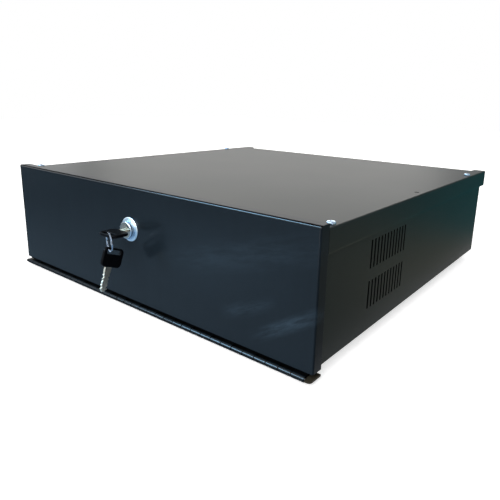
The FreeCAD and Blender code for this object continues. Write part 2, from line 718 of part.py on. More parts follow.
def hinge_drawer_leaf():
    """Lower leaf, spot-welded under the sill."""
    under = HINGE_Z - BARREL / 2
    clear = HINGE_Y + BARREL / 2 + GAP
    back = clear + LEAF_DEPTH
    leaf = block(-HINGE_LENGTH / 2, HINGE_LENGTH / 2, clear, back, under, under + HINGE_LEAF)
    joined = clear + SHEET
    web = [(HINGE_Y, under), (joined, under), (joined, under + HINGE_LEAF), (HINGE_Y, under + HINGE_LEAF)]
    return fuse([leaf] + [knuckle(x0, x1, web) for x0, x1 in knuckle_spans(0)])


def hinge_door_leaf():
    """Upper leaf, spot-welded inside the drop-down front and joggled forward to the barrel."""
    face = DOOR_INSIDE
    inner = face + HINGE_LEAF
    clear = HINGE_Z + BARREL / 2 + GAP
    leaf = block(-HINGE_LENGTH / 2, HINGE_LENGTH / 2, face, inner, clear, clear + LEAF_HEIGHT)
    top = HINGE_Z + BARREL / 2
    web = [(face, clear + SHEET), (inner, clear + SHEET), (inner, clear + SEAM),
           (HINGE_Y + BARREL / 4, HINGE_Z), (HINGE_Y, top - HINGE_LEAF), (HINGE_Y, top)]
    return fuse([leaf] + [knuckle(x0, x1, web) for x0, x1 in knuckle_spans(1)])


def hinge_pin():
    return rod(PIN / 2, (-HINGE_LENGTH / 2, HINGE_Y, HINGE_Z), (1, 0, 0), HINGE_LENGTH)


# ---- drop-down front ----
def door_panel():
    """Pan with returns along its top and both sides."""
    plate = block(-HALF, HALF, DOOR_FACE, DOOR_BACK, DOOR_BOTTOM, DOOR_TOP)
    hollow = block(-HALF + SHEET, HALF - SHEET, DOOR_INSIDE, DOOR_BACK + GAP, DOOR_BOTTOM - GAP,
                   DOOR_TOP - SHEET)

    def front_fold(edge):
        place = middle(edge)
        if abs(place.y - DOOR_FACE) > 1e-6:
            return False
        top = runs_along(edge, Vector(1, 0, 0)) and abs(place.z - DOOR_TOP) < 1e-6
        side = runs_along(edge, Vector(0, 0, 1)) and abs(abs(place.x) - HALF) < 1e-6
        return top or side

    pan = rounded(plate, BEND, front_fold).cut(hollow)
    return pan.cut(rod(LOCK_HOLE / 2, (LOCK_X, DOOR_FACE - SHEET, LOCK_Z), (0, 1, 0), 3 * SHEET))


# ---- cam lock ----
def turned(points):
    """Revolves a section of (radius, y) about the lock's axis."""
    ring = face_of([(radius, y, 0) for radius, y in points])
    ring = ring.revolve(Vector(0, 0, 0), Vector(0, 1, 0), 360)
    ring.translate(Vector(LOCK_X, 0, LOCK_Z))
    return ring


def lock_housing():
    """Barrel with a raised head, through the front and the nut behind it."""
    bore = PLUG / 2 + PLUG_PLAY
    body = LOCK_BODY / 2
    head = LOCK_HEAD / 2
    collar = LOCK_COLLAR / 2
    points = [(bore, HEAD_FRONT), (head - LOCK_HEAD_CHAMFER, HEAD_FRONT),
              (head, HEAD_FRONT + LOCK_HEAD_CHAMFER), (head, COLLAR_FRONT), (collar, COLLAR_FRONT),
              (collar, RIM_FRONT), (body, RIM_FRONT), (body, BODY_BACK), (bore, BODY_BACK)]
    return turned(points)


def lock_rim():
    """Dished bright washer between the head and the front."""
    inner = LOCK_BODY / 2 + SEAM
    outer = LOCK_RIM / 2
    points = [(inner, RIM_FRONT), (outer - LOCK_RIM_SLOPE, RIM_FRONT), (outer, DOOR_FACE - LOCK_RIM_EDGE),
              (outer, DOOR_FACE), (inner, DOOR_FACE)]
    return turned(points)


def lock_nut():
    """Hexagon nut that holds the barrel against the inside of the front."""
    nut = hexagon(LOCK_NUT_FLATS, LOCK_NUT_HEIGHT, (LOCK_X, DOOR_INSIDE, LOCK_Z), (0, 1, 0))
    bore = rod(LOCK_BODY / 2 + PLUG_PLAY, (LOCK_X, DOOR_INSIDE - GAP, LOCK_Z), (0, 1, 0),
               LOCK_NUT_HEIGHT + SHEET)
    return nut.cut(bore)


def keyway():
    """The slot along the plug that the blade slides in."""
    half = BLADE_WIDTH / 2 + KEYWAY_PLAY
    rise = BLADE_THICK / 2 + KEYWAY_PLAY
    tip = HEAD_FRONT - KEY_STAND_OFF + BLADE_LENGTH
    return block(LOCK_X - half, LOCK_X + half, HEAD_FRONT - GAP, tip + GAP, LOCK_Z - rise, LOCK_Z + rise)


def lock_plug():
    """Rotating core with its keyway, a square for the cam and a bore for the cam's screw."""
    core = rod(PLUG / 2, (LOCK_X, HEAD_FRONT, LOCK_Z), (0, 1, 0), CAM_FRONT - HEAD_FRONT)
    half = PLUG_SQUARE / 2
    square = block(LOCK_X - half, LOCK_X + half, CAM_FRONT, CAM_BACK, LOCK_Z - half, LOCK_Z + half)
    bore = rod(CAM_SCREW / 2 + PLUG_PLAY, (LOCK_X, CAM_FRONT, LOCK_Z), (0, 1, 0), CAM_THICK + SHEET)
    return cut(fuse([core, square]), [keyway(), bore])


def lock_cam():
    """Flat arm on the plug's square; lies level when open and turns up behind the strike rail."""
    eye = rod(CAM_WIDTH / 2, (LOCK_X, CAM_FRONT, LOCK_Z), (0, 1, 0), CAM_THICK)
    upper = [(LOCK_X, LOCK_Z + CAM_WIDTH / 2), (LOCK_X + CAM_REACH - CAM_TAPER, LOCK_Z + CAM_NECK / 2),
             (LOCK_X + CAM_REACH, LOCK_Z + CAM_TIP / 2)]
    lower = [(x, 2 * LOCK_Z - z) for x, z in reversed(upper)]
    cam = fuse([eye, along_y(upper + lower, CAM_FRONT, CAM_BACK)])
    play = PLUG_SQUARE / 2 + PLUG_PLAY
    hole = block(LOCK_X - play, LOCK_X + play, CAM_FRONT - GAP, CAM_BACK + GAP, LOCK_Z - play, LOCK_Z + play)
    return cam.cut(hole)


def cam_screw():
    """Slotted screw that keeps the cam on the plug."""
    top = CAM_BACK + CAM_SCREW_HEAD_HEIGHT
    head = rod(CAM_SCREW_HEAD / 2, (LOCK_X, CAM_BACK, LOCK_Z), (0, 1, 0), CAM_SCREW_HEAD_HEIGHT)
    shank = rod(CAM_SCREW / 2, (LOCK_X, CAM_FRONT + SEAM, LOCK_Z), (0, 1, 0), CAM_THICK - SEAM)
    slot = block(LOCK_X - CAM_SCREW_HEAD, LOCK_X + CAM_SCREW_HEAD, top - CAM_SCREW_SLOT_DEPTH, top + GAP,
                 LOCK_Z - CAM_SCREW_SLOT / 2, LOCK_Z + CAM_SCREW_SLOT / 2)
    return fuse([head, shank]).cut(slot)


# ---- keys: drawn with the bow's outer edge at Y = 0 and the blade pointing along +Y ----
def key_bow():
    """Moulded head of a key, slotted for the ring and moulded round the blade's tang."""
    low = BOW_SIDE - BOW_WIDTH / 2
    rise = BOW_THICK / 2

    def corner(edge):
        return runs_along(edge, Vector(0, 0, 1))

    bow = rounded(block(low, low + BOW_WIDTH, 0, BOW_LENGTH, -rise, rise), BOW_CORNER, corner)
    slot_low = BOW_SIDE - BOW_SLOT_WIDTH / 2
    slot = block(slot_low, slot_low + BOW_SLOT_WIDTH, BOW_BAR, BOW_BAR + BOW_SLOT, -BOW_THICK, BOW_THICK)
    bow = bow.cut(rounded(slot, BOW_SLOT_CORNER, corner))
    bow = bow.makeChamfer(BOW_EDGE, [edge for edge in bow.Edges if abs(abs(middle(edge).z) - rise) < 1e-6])
    return bow.cut(tang(SEAM))


def tang(play):
    """The part of the blade inside the bow; the bow's pocket is larger by the play."""
    half = BLADE_WIDTH / 2 - TANG_INSET + play
    rise = BLADE_THICK / 2 + play
    return block(-half, half, BOW_LENGTH - BLADE_TANG - play, BOW_LENGTH + play, -rise, rise)


def key_blade():
    """Double-sided blade with cuts along both edges, its tang held inside the bow."""
    half = BLADE_WIDTH / 2
    rise = BLADE_THICK / 2
    pitch = (BLADE_LENGTH - KEY_STAND_OFF - BLADE_POINT) / BITS
    right = [(half, 0), (half, KEY_STAND_OFF)]
    for number, depth in enumerate(BIT_DEPTHS[:BITS]):
        start = KEY_STAND_OFF + number * pitch
        floor_start = start + pitch / 3
        floor_end = start + 2 * pitch / 3
        right += [(half - depth, floor_start), (half - depth, floor_end), (half - BIT_PEAK, start + pitch)]
    right += [(BLADE_POINT_WIDTH / 2, BLADE_LENGTH)]
    left = [(-x, y) for x, y in reversed(right)]
    outline = [(x, BOW_LENGTH + y, -rise) for x, y in right + left]
    blade = face_of(outline).extrude(Vector(0, 0, BLADE_THICK))
    groove = block(-GROOVE_WIDTH / 2, GROOVE_WIDTH / 2, BOW_LENGTH + KEY_STAND_OFF / 2,
                   BOW_LENGTH + BLADE_LENGTH - GROOVE_END, rise - GROOVE_DEPTH, rise + GAP)
    return fuse([blade, tang(0)]).cut(groove)


def in_the_lock(shape):
    placed = shape.copy()
    placed.translate(Vector(LOCK_X, BOW_OUTER_Y, LOCK_Z))
    return placed


def key_ring():
    """Closed ring with an eight-sided section, as a split ring's two coils make together."""
    section = []
    for number in range(RING_SIDES):
        angle = 2 * math.pi * (number + 0.5) / RING_SIDES
        section.append((RING_RADIUS + RING_WIRE / 2 * math.cos(angle), 0, RING_WIRE / 2 * math.sin(angle)))
    ring = face_of(section).revolve(Vector(0, 0, 0), Vector(0, 0, 1), 360)
    ring.Placement = FreeCAD.Placement(RING_CENTRE, FreeCAD.Rotation(Vector(0, 0, 1), RING_AXIS))
    return ring


def on_the_ring(shape):
    """Hangs a key blade-down from the bottom of the ring, its bar just above the wire."""
    placed = shape.copy()
    placed.translate(Vector(SPARE_OFFSET, -BOW_BAR - RING_WIRE / 2 - SPARE_PLAY, 0))
    placed.rotate(Vector(0, 0, 0), Vector(1, 0, 0), -90)
    placed.rotate(Vector(0, 0, 0), Vector(0, 1, 0), SPARE_LEAN)
    placed.rotate(Vector(0, 0, 0), Vector(0, 0, 1), SPARE_TURN)
    placed.translate(SPARE_PIVOT)
    return placed


# ---- write every piece ----
def main():
    os.makedirs("parts", exist_ok=True)
    save("case_shell", case_shell())
    save("strike_rail", strike_rail())
    save("rear_panel", rear_panel())
    save("rear_panel_rivets", rear_rivets())
    for name, side in (("left", -1), ("right", 1)):
        save("cable_grommet_" + name, grommet(side))
    save("top_cover", cover())
    save("cover_screws", cover_screws())
    save("rubber_feet", rubber_feet())
    save("foot_screws", foot_screws())
    save("foot_nuts", foot_nuts())
    for name, made in (("outer_member", slide_outer()), ("middle_member", slide_middle()),
                       ("inner_member", slide_inner()), ("outer_ball_cage", outer_cage()),
                       ("inner_ball_cage", inner_cage())):
        save("slide_left_" + name, made)
        save("slide_right_" + name, mirrored(made))
    save("tray_slide_screws", tray_slide_screws())
    save("drawer_tray", drawer_tray())
    save("front_sill", front_sill())
    save("sill_rivets", sill_rivets())
    save("hinge_drawer_leaf", hinge_drawer_leaf())
    save("hinge_door_leaf", hinge_door_leaf())
    save("hinge_pin", hinge_pin())
    save("door_panel", door_panel())
    save("lock_housing", lock_housing())
    save("lock_rim", lock_rim())
    save("lock_nut", lock_nut())
    save("lock_plug", lock_plug())
    save("lock_cam", lock_cam())
    save("cam_screw", cam_screw())
    save("key_bow", in_the_lock(key_bow()))
    save("key_blade", in_the_lock(key_blade()))
    save("key_ring", key_ring())
    save("spare_key_bow", on_the_ring(key_bow()))
    save("spare_key_blade", on_the_ring(key_blade()))


main()
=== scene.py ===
import json
import math
from functools import cache

import bmesh
import bpy
from bpy.props import FloatProperty, FloatVectorProperty, IntProperty, PointerProperty
from mathutils import Matrix, Vector

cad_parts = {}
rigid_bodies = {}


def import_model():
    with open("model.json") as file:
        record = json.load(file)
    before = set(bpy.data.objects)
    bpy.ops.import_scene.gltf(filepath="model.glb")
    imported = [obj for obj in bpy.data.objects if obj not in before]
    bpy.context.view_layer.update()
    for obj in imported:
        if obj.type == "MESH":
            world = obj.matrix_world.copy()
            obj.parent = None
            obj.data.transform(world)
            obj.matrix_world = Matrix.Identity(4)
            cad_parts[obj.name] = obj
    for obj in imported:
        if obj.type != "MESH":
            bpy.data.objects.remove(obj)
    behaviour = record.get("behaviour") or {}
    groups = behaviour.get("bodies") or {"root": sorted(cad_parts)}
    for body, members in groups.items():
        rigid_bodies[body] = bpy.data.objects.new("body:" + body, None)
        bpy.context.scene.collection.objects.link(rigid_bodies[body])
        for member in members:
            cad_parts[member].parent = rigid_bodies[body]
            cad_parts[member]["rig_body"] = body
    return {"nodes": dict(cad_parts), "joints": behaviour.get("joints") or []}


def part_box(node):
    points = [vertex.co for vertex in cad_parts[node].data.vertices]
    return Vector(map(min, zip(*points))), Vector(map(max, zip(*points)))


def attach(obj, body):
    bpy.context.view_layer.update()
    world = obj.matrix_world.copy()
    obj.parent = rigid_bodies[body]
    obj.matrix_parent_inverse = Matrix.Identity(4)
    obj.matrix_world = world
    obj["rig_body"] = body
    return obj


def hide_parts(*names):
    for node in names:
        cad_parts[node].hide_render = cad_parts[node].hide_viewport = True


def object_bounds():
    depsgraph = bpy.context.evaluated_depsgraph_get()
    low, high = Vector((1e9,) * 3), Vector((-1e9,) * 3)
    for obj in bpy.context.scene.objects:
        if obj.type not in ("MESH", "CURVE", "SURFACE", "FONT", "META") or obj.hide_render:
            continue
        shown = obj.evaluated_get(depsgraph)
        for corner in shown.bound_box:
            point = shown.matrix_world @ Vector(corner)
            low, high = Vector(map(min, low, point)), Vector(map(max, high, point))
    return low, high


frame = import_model()

bl_info = {
    "name": "Lockable Equipment Box",
    "version": (1, 0, 0),
    "blender": (4, 5, 0),
    "location": "View3D > Sidebar > Equipment Box",
    "description": "Dresses a sheet-steel box that has a sliding tray and a drop-down front",
    "category": "Object",
}

MM = 0.001
CAD_LOW, CAD_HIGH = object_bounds()
JOINTS = {joint["name"]: joint for joint in frame["joints"]}

# ---- camera: its place, its turn in radians, and its sensor and lens in millimetres ----
CAMERA_PLACE = Vector((0.40615, -0.53413, 0.21304))
CAMERA_YAW = -0.6588
CAMERA_PITCH = 0.2454
CAMERA_ROLL = 0.0267
CAMERA_SENSOR = 36.0
CAMERA_LENS = 34.876
CAMERA_SHIFT = (-0.0229, -0.0584)
CAMERA_NEAR = 0.01


# ---------------------------------------------------------------- sizes and colours
class BoxFinish(bpy.types.PropertyGroup):
    """Colours and finish of the painted steel and the small parts."""

    paint: FloatVectorProperty(
        name="Paint", description="Colour of the powder coat", subtype="COLOR",
        size=3, min=0, max=1, default=(0.0096, 0.0168, 0.0244))
    paint_roughness: FloatProperty(
        name="Paint roughness", description="How dull the powder coat is", min=0, max=1, default=0.4)
    paint_gloss: FloatProperty(
        name="Paint gloss", description="Specular level of the powder coat", min=0, max=1, default=0.03)
    grain: FloatProperty(
        name="Grain", description="Size of the powder coat's fine texture", unit="LENGTH", default=0.9 * MM)
    edge: FloatProperty(
        name="Edge", description="Rounding of sheared and drilled edges", unit="LENGTH", default=0.3 * MM)
    plastic: FloatVectorProperty(
        name="Key bows", description="Colour of the moulded key bows", subtype="COLOR",
        size=3, min=0, max=1, default=(0.0022, 0.0026, 0.0036))
    rubber: FloatVectorProperty(
        name="Rubber", description="Colour of the feet and grommets", subtype="COLOR",
        size=3, min=0, max=1, default=(0.015, 0.015, 0.015))


class BoxSizes(bpy.types.PropertyGroup):
    """Small sizes of the hardware that the solids hold as well."""

    knuckles: IntProperty(name="Knuckles", description="Knuckles along the hinge, both leaves", default=34)
    knuckle_gap: FloatProperty(
        name="Knuckle gap", description="Gap between two knuckles", unit="LENGTH", default=0.7 * MM)
    hinge_sheet: FloatProperty(
        name="Hinge sheet", description="Thickness of the hinge's leaves", unit="LENGTH", default=1.2 * MM)
    rivet: FloatProperty(
        name="Rivet", description="Diameter of a rivet's shank", unit="LENGTH", default=4.0 * MM)
    rivet_head: FloatProperty(
        name="Rivet head", description="Height of a rivet's head", unit="LENGTH", default=1.1 * MM)
    slide_screw: FloatProperty(
        name="Slide screw", description="Diameter of the tray's screws", unit="LENGTH", default=3.0 * MM)
    slide_screw_head: FloatProperty(
        name="Slide screw head", description="Height of their heads", unit="LENGTH", default=1.0 * MM)
    foot_screw: FloatProperty(
        name="Foot screw", description="Diameter of the feet's screws", unit="LENGTH", default=4.0 * MM)
    foot_recess: FloatProperty(
        name="Foot recess", description="Depth of the recess under a foot", unit="LENGTH", default=4.0 * MM)
    foot_ground: FloatProperty(
        name="Foot on the ground", description="Width of a foot where it stands",
        unit="LENGTH", default=18.0 * MM)
    grommet_bore: FloatProperty(
        name="Grommet bore", description="Hole through a grommet", unit="LENGTH", default=24.0 * MM)
    grommet_lip: FloatProperty(
        name="Grommet lip", description="How far a lip stands past its hole", unit="LENGTH", default=3.0 * MM)
    panel_sheet: FloatProperty(
        name="Panel sheet", description="Thickness of the sheet steel", unit="LENGTH", default=1.5 * MM)
    lock_body: FloatProperty(
        name="Lock body", description="Diameter of the lock behind the front",
        unit="LENGTH", default=18.8 * MM)
    lock_head: FloatProperty(
        name="Lock head", description="Diameter of the lock's head", unit="LENGTH", default=19.0 * MM)
    lock_collar: FloatProperty(
        name="Lock collar", description="Height of the collar under the head",
        unit="LENGTH", default=0.8 * MM)
    lock_rounding: FloatProperty(
        name="Head rounding", description="Rounding of the head's front edge",
        unit="LENGTH", default=1.5 * MM)
    plug_bore: FloatProperty(
        name="Plug bore", description="Bore that the plug turns in", unit="LENGTH", default=12.1 * MM)
    rim_flat: FloatProperty(
        name="Rim flat", description="Flat of the lock's rim round its collar",
        unit="LENGTH", default=0.2 * MM)
    rim_edge: FloatProperty(
        name="Rim edge", description="Straight edge of the rim at the front",
        unit="LENGTH", default=0.25 * MM)
    ring_wire: FloatProperty(
        name="Ring wire", description="Width of the key ring's wire", unit="LENGTH", default=1.6 * MM)
    coil_thickness: FloatProperty(
        name="Ring coil", description="Thickness of one coil of the key ring",
        unit="LENGTH", default=0.66 * MM)


class StageSettings(bpy.types.PropertyGroup):
    """Floor, background and lamps."""

    floor_size: FloatProperty(
        name="Floor", description="Width of the square floor", unit="LENGTH", default=8.0)
    floor_colour: FloatVectorProperty(
        name="Floor colour", description="Colour of the floor", subtype="COLOR",
        size=3, min=0, max=1, default=(0.8, 0.8, 0.8))
    floor_glow: FloatProperty(
        name="Floor glow", description="Light that the floor shows to the camera and to polished metal",
        min=0, max=1, default=0.65)
    fill: FloatProperty(
        name="Fill", description="Strength of the soft light from all round", min=0, max=2, default=0.45)
    key_power: FloatProperty(
        name="Main lamp", description="Power of the large lamp above and in front",
        unit="POWER", default=30.0)
    back_power: FloatProperty(
        name="Back lamp", description="Power of the low lamp behind", unit="POWER", default=20.0)
    window_power: FloatProperty(
        name="Window", description="Power of the cool light at the front left", unit="POWER", default=24.0)
    far_power: FloatProperty(
        name="Far window", description="Power of the window beyond the box's left side",
        unit="POWER", default=3.2)


# ---------------------------------------------------------------- materials
NOISE_RANGE = (0.3, 0.7)        # what a noise mostly stays between

# least and most gain of a colour as its tone changes
PAINT_TINTS = (0.94, 1.07)
METAL_TINTS = (0.86, 1.06)
MOULDED_TINTS = (0.85, 1.2)

# powder coat
SHEET_REFLECTION_TINTS = (1.4, 1.08, 0.76)     # painted reflection: gains that make the sheets round the box warmer than the front, for the warm surroundings that they reflect
# gains of the paint; the tray's is painted shade, for the tray inside the case
TRAY_SHADE_TINT, FRONT_TINT, HINGE_TINT = 0.6, 0.55, 0.5
SILL_COLOUR = (0.03, 0.0275, 0.02)
FRONT_STREAKS = 0.35            # how far upright streaks change the front's tone
CLOUD_SIZE = 90 * MM            # slow change of tone
ROUGHNESS_DRIFT = 0.006         # how far the roughness wanders with it, either way
PEEL_DEPTH, PEEL_STRENGTH = 0.03 * MM, 0.35     # orange peel
STREAK_SIZE = 8 * MM            # width of the front's upright streaks
STREAK_STRETCH = 0.05           # their width over their length
GLOSS_ROUGHNESS = 0.2           # roughness of the clear coat on glossy zones
HALF_GLOSS = 0.4                # its weight on half glossy zones
PAINTED_SHEEN_TINT = 1.6                 # gain of the colour in a painted sheen, a paler zone
PAINTED_SHADE_TINT = 0.05              # its gain in painted shade
RECESS_ROUGHNESS = 0.9          # least roughness there

# rubbed strokes on the front
SCUFF_TINT = 5.0                # gain of the colour
SCUFF_DULLING = 0.05            # roughness added
RUB_SIZE = 12 * MM              # lumps of a stroke
RUB_STRETCH = (0.35, 1, 2.2)    # how they are drawn out along it
RUB_RANGE = (0.35, 0.62)        # noise at which it begins to show, and shows fully

# bare metal, plastic and rubber
METAL_STRENGTH = 0.25           # how strongly a metal's unevenness shows
POLISHED = 0.002 * MM           # unevenness of a polished metal
BARE_NICKEL = (0.46, 0.43, 0.37)
SKIN_DEPTH, SKIN_STRENGTH = 0.05 * MM, 0.4      # eroded skin
SKIN_CLOUD = 20                 # size of its slow change of tone over its grain
SKIN_DRIFT = 0.05               # how far its roughness wanders, either way


def new_material(name):
    """A fresh node material; returns it with its tree and its shader."""
    material = bpy.data.materials.new(name)
    material.use_nodes = True
    tree = material.node_tree
    return material, tree, tree.nodes["Principled BSDF"]


def fill(tree, node, inputs):
    """Links each named input of a node to a socket, or gives it a value of its own."""
    for name, value in inputs.items():
        if isinstance(value, bpy.types.NodeSocket):
            tree.links.new(value, node.inputs[name])
        else:
            node.inputs[name].default_value = value


def add_node(tree, kind, inputs, **settings):
    """A new node with its inputs and settings."""
    node = tree.nodes.new(kind)
    for name, value in settings.items():
        setattr(node, name, value)
    fill(tree, node, inputs)
    return node


def place_node(tree, scale=(1, 1, 1), turn=0.0):
    """Object coordinates, turned about Y and then stretched by a scale for each axis."""
    place = add_node(tree, "ShaderNodeTexCoord", {}).outputs["Object"]
    if turn:
        inputs = {"Vector": place, "Angle": turn}
        place = add_node(tree, "ShaderNodeVectorRotate", inputs, rotation_type="Y_AXIS").outputs["Vector"]
    return add_node(tree, "ShaderNodeMapping", {"Vector": place, "Scale": scale}).outputs["Vector"]


def axes_node(tree, place):
    """The three parts of a place, as sockets by the axis's name."""
    return add_node(tree, "ShaderNodeSeparateXYZ", {"Vector": place}).outputs


def noise_node(tree, place, size, detail=3.0, roughness=0.55):
    """Noise whose lumps are about as wide as size, in metres."""
    inputs = {"Vector": place, "Scale": 1 / size, "Detail": detail, "Roughness": roughness}
    return add_node(tree, "ShaderNodeTexNoise", inputs).outputs["Fac"]


def range_node(tree, value, from_low, from_high, to_low, to_high):
    """Maps a value from one range to another, clamped."""
    inputs = {"Value": value, "From Min": from_low, "From Max": from_high,
              "To Min": to_low, "To Max": to_high}
    return add_node(tree, "ShaderNodeMapRange", inputs).outputs["Result"]


def spread(tree, noise, low, high):
    """Spreads a noise over a range."""
    return range_node(tree, noise, *NOISE_RANGE, low, high)


def math_node(tree, operation, first, second=0):
    """One sum on two values, each a socket or a number."""
    return add_node(tree, "ShaderNodeMath", {0: first, 1: second}, operation=operation).outputs["Value"]


def blend_node(tree, share, first, second):
    """Mixes two colours, each a socket or three numbers, by a share."""
    node = add_node(tree, "ShaderNodeMix", {"Factor": share}, data_type="RGBA")
    places = {socket.name: n for n, socket in enumerate(node.inputs) if socket.type == "RGBA"}
    colours = (value if isinstance(value, bpy.types.NodeSocket) else (*value, 1) for value in (first, second))
    fill(tree, node, dict(zip((places["A"], places["B"]), colours)))
    return next(socket for socket in node.outputs if socket.type == "RGBA")


def bump(tree, height, depth, strength):
    """A surface raised by a height pattern, depth metres from low to high."""
    inputs = {"Height": height, "Distance": depth, "Strength": strength}
    return add_node(tree, "ShaderNodeBump", inputs).outputs["Normal"]


def tinted(colour, gain):
    """A colour made lighter or darker by a gain."""
    return tuple(min(1.0, channel * gain) for channel in colour)


def mottled(tree, share, colour, tints):
    """A colour that wanders between two gains by a share."""
    return blend_node(tree, share, *(tinted(colour, gain) for gain in tints))


def zone_node(tree, limits):
    """1 inside a zone of the object's space. Each limit is (axis, place where it is 0, place where it is 1).

    The axis "|X|" is the distance from the middle on either side.
    """
    axes = axes_node(tree, place_node(tree))
    share = 1.0
    for axis, outside, inside in limits:
        place = axes[axis.strip("|")]
        if axis.startswith("|"):
            place = math_node(tree, "ABSOLUTE", place)
        share = math_node(tree, "MULTIPLY", range_node(tree, place, outside, inside, 0, 1), share)
    return share


def scuffs(tree, strokes):
    """A mask of rubbed strokes. Each is (x, z, rise in degrees, length, width, strength)."""
    mask = 0.0
    for x, z, rise, length, width, strength in strokes:
        angle = math.radians(rise)
        axes = axes_node(tree, place_node(tree, turn=angle))
        along = math_node(tree, "SUBTRACT", axes["X"], x * math.cos(angle) + z * math.sin(angle))
        across = math_node(tree, "SUBTRACT", axes["Z"], z * math.cos(angle) - x * math.sin(angle))
        along, across = (math_node(tree, "ABSOLUTE", part) for part in (along, across))
        inside = math_node(tree, "MULTIPLY", range_node(tree, along, length / 2, length / 6, 0, 1),
                           range_node(tree, across, width / 2, 0, 0, 1))
        rub = noise_node(tree, place_node(tree, RUB_STRETCH, angle), RUB_SIZE, 5, 0.7)
        rub = math_node(tree, "MULTIPLY", range_node(tree, rub, *RUB_RANGE, 0, strength), inside)
        mask = math_node(tree, "MAXIMUM", rub, mask)
    return mask


def powder_coat(name, colour, streaks=0.0, wear_and_sheen=None, strokes=None, glossy=None, half_glossy=None,
                shaded=None):
    """Satin powder coat: fine orange peel, slow cloudy change of tone, and optional streaks.

    The paler zone (a painted sheen), glossy, half_glossy (only beside a glossy zone) and shaded (painted
    shade) are zones, as for zone_node. Strokes are rubbed marks, as for scuffs.
    """
    finish = bpy.context.scene.box_finish
    material, tree, shader = new_material(name)
    cloud = noise_node(tree, place_node(tree), CLOUD_SIZE, 2)
    tone = spread(tree, cloud, 0, 1)
    if streaks:
        lines = noise_node(tree, place_node(tree, (1, 1, STREAK_STRETCH)), STREAK_SIZE, 2)
        tone = math_node(tree, "ADD", tone, spread(tree, lines, -streaks, streaks))
    base = mottled(tree, tone, colour, PAINT_TINTS)
    dull = finish.paint_roughness
    dull = spread(tree, cloud, dull - ROUGHNESS_DRIFT, dull + ROUGHNESS_DRIFT)
    # painted sheen: the paler zone stands in for soft light reflected on the paint
    if wear_and_sheen:
        base = blend_node(tree, zone_node(tree, wear_and_sheen), base, tinted(colour, PAINTED_SHEEN_TINT))
    if strokes:
        mask = scuffs(tree, strokes)
        base = blend_node(tree, mask, base, tinted(colour, SCUFF_TINT))
        dull = math_node(tree, "ADD", dull, math_node(tree, "MULTIPLY", mask, SCUFF_DULLING))
    if glossy:
        gleam = zone_node(tree, glossy)
        if half_glossy:
            half = math_node(tree, "MULTIPLY", zone_node(tree, half_glossy), HALF_GLOSS)
            gleam = math_node(tree, "MAXIMUM", gleam, half)
        fill(tree, shader, {"Coat Weight": gleam, "Coat Roughness": GLOSS_ROUGHNESS})
    # painted shade: the shaded zone gets darker, duller paint
    if shaded:
        recess = zone_node(tree, shaded)
        base = blend_node(tree, recess, base, tinted(colour, PAINTED_SHADE_TINT))
        dull = math_node(tree, "MAXIMUM", dull, math_node(tree, "MULTIPLY", recess, RECESS_ROUGHNESS))
    peel = bump(tree, noise_node(tree, place_node(tree), finish.grain, 2), PEEL_DEPTH, PEEL_STRENGTH)
    fill(tree, shader, {"Base Color": base, "Roughness": dull, "Specular IOR Level": finish.paint_gloss,
                        "Normal": peel})
    return material


def plated(name, colour, low, high, lump=4 * MM, grain=0.02 * MM, wear_and_sheen=None):
    """Bare or plated metal whose roughness wanders between low and high, with a zone of wear to bare nickel.
    """
    material, tree, shader = new_material(name)
    cloud = noise_node(tree, place_node(tree), lump)
    base = mottled(tree, spread(tree, cloud, 0, 1), colour, METAL_TINTS)
    if wear_and_sheen:
        base = blend_node(tree, zone_node(tree, wear_and_sheen), base, BARE_NICKEL)
    fill(tree, shader, {"Base Color": base, "Metallic": 1.0, "Roughness": spread(tree, cloud, low, high),
                        "Normal": bump(tree, cloud, grain, METAL_STRENGTH)})
    return material


def moulded(name, colour, roughness, gloss, grain):
    """Moulded plastic or rubber with a fine eroded skin."""
    material, tree, shader = new_material(name)
    skin = noise_node(tree, place_node(tree), grain, 3, 0.7)
    cloud = noise_node(tree, place_node(tree), grain * SKIN_CLOUD, 2)
    base = mottled(tree, spread(tree, cloud, 0, 1), colour, MOULDED_TINTS)
    dull = spread(tree, skin, roughness - SKIN_DRIFT, roughness + SKIN_DRIFT)
    fill(tree, shader, {"Base Color": base, "Roughness": dull, "Specular IOR Level": gloss,
                        "Normal": bump(tree, skin, SKIN_DEPTH, SKIN_STRENGTH)})
    return material


def sheet_paints(colour):
    """The painted sheets round the box: the tray darker and the inside of the case dark, both painted shade,
    and glossy at the cover's lower edge.
    """
    low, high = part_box("case_shell")
    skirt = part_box("top_cover")[0].z
    return {
        "paint": powder_coat("satin_black_paint", colour),
        "tray_paint": powder_coat("satin_black_tray", tinted(colour, TRAY_SHADE_TINT)),
        "cover_paint": powder_coat("satin_black_cover", colour,
                                   glossy=(("Z", skirt + 0.8 * MM, skirt - 0.8 * MM),)),
        # painted shade: the case's walls inside, back from its slots, painted near black
        "case_paint": powder_coat("satin_black_case", colour,
                                  shaded=(("|X|", high.x - 0.05 * MM, high.x - 0.3 * MM),
                                          ("Y", high.y - 3 * MM, high.y - 4 * MM),
                                          ("Z", low.z + 1.2 * MM, low.z + 1.8 * MM))),
    }


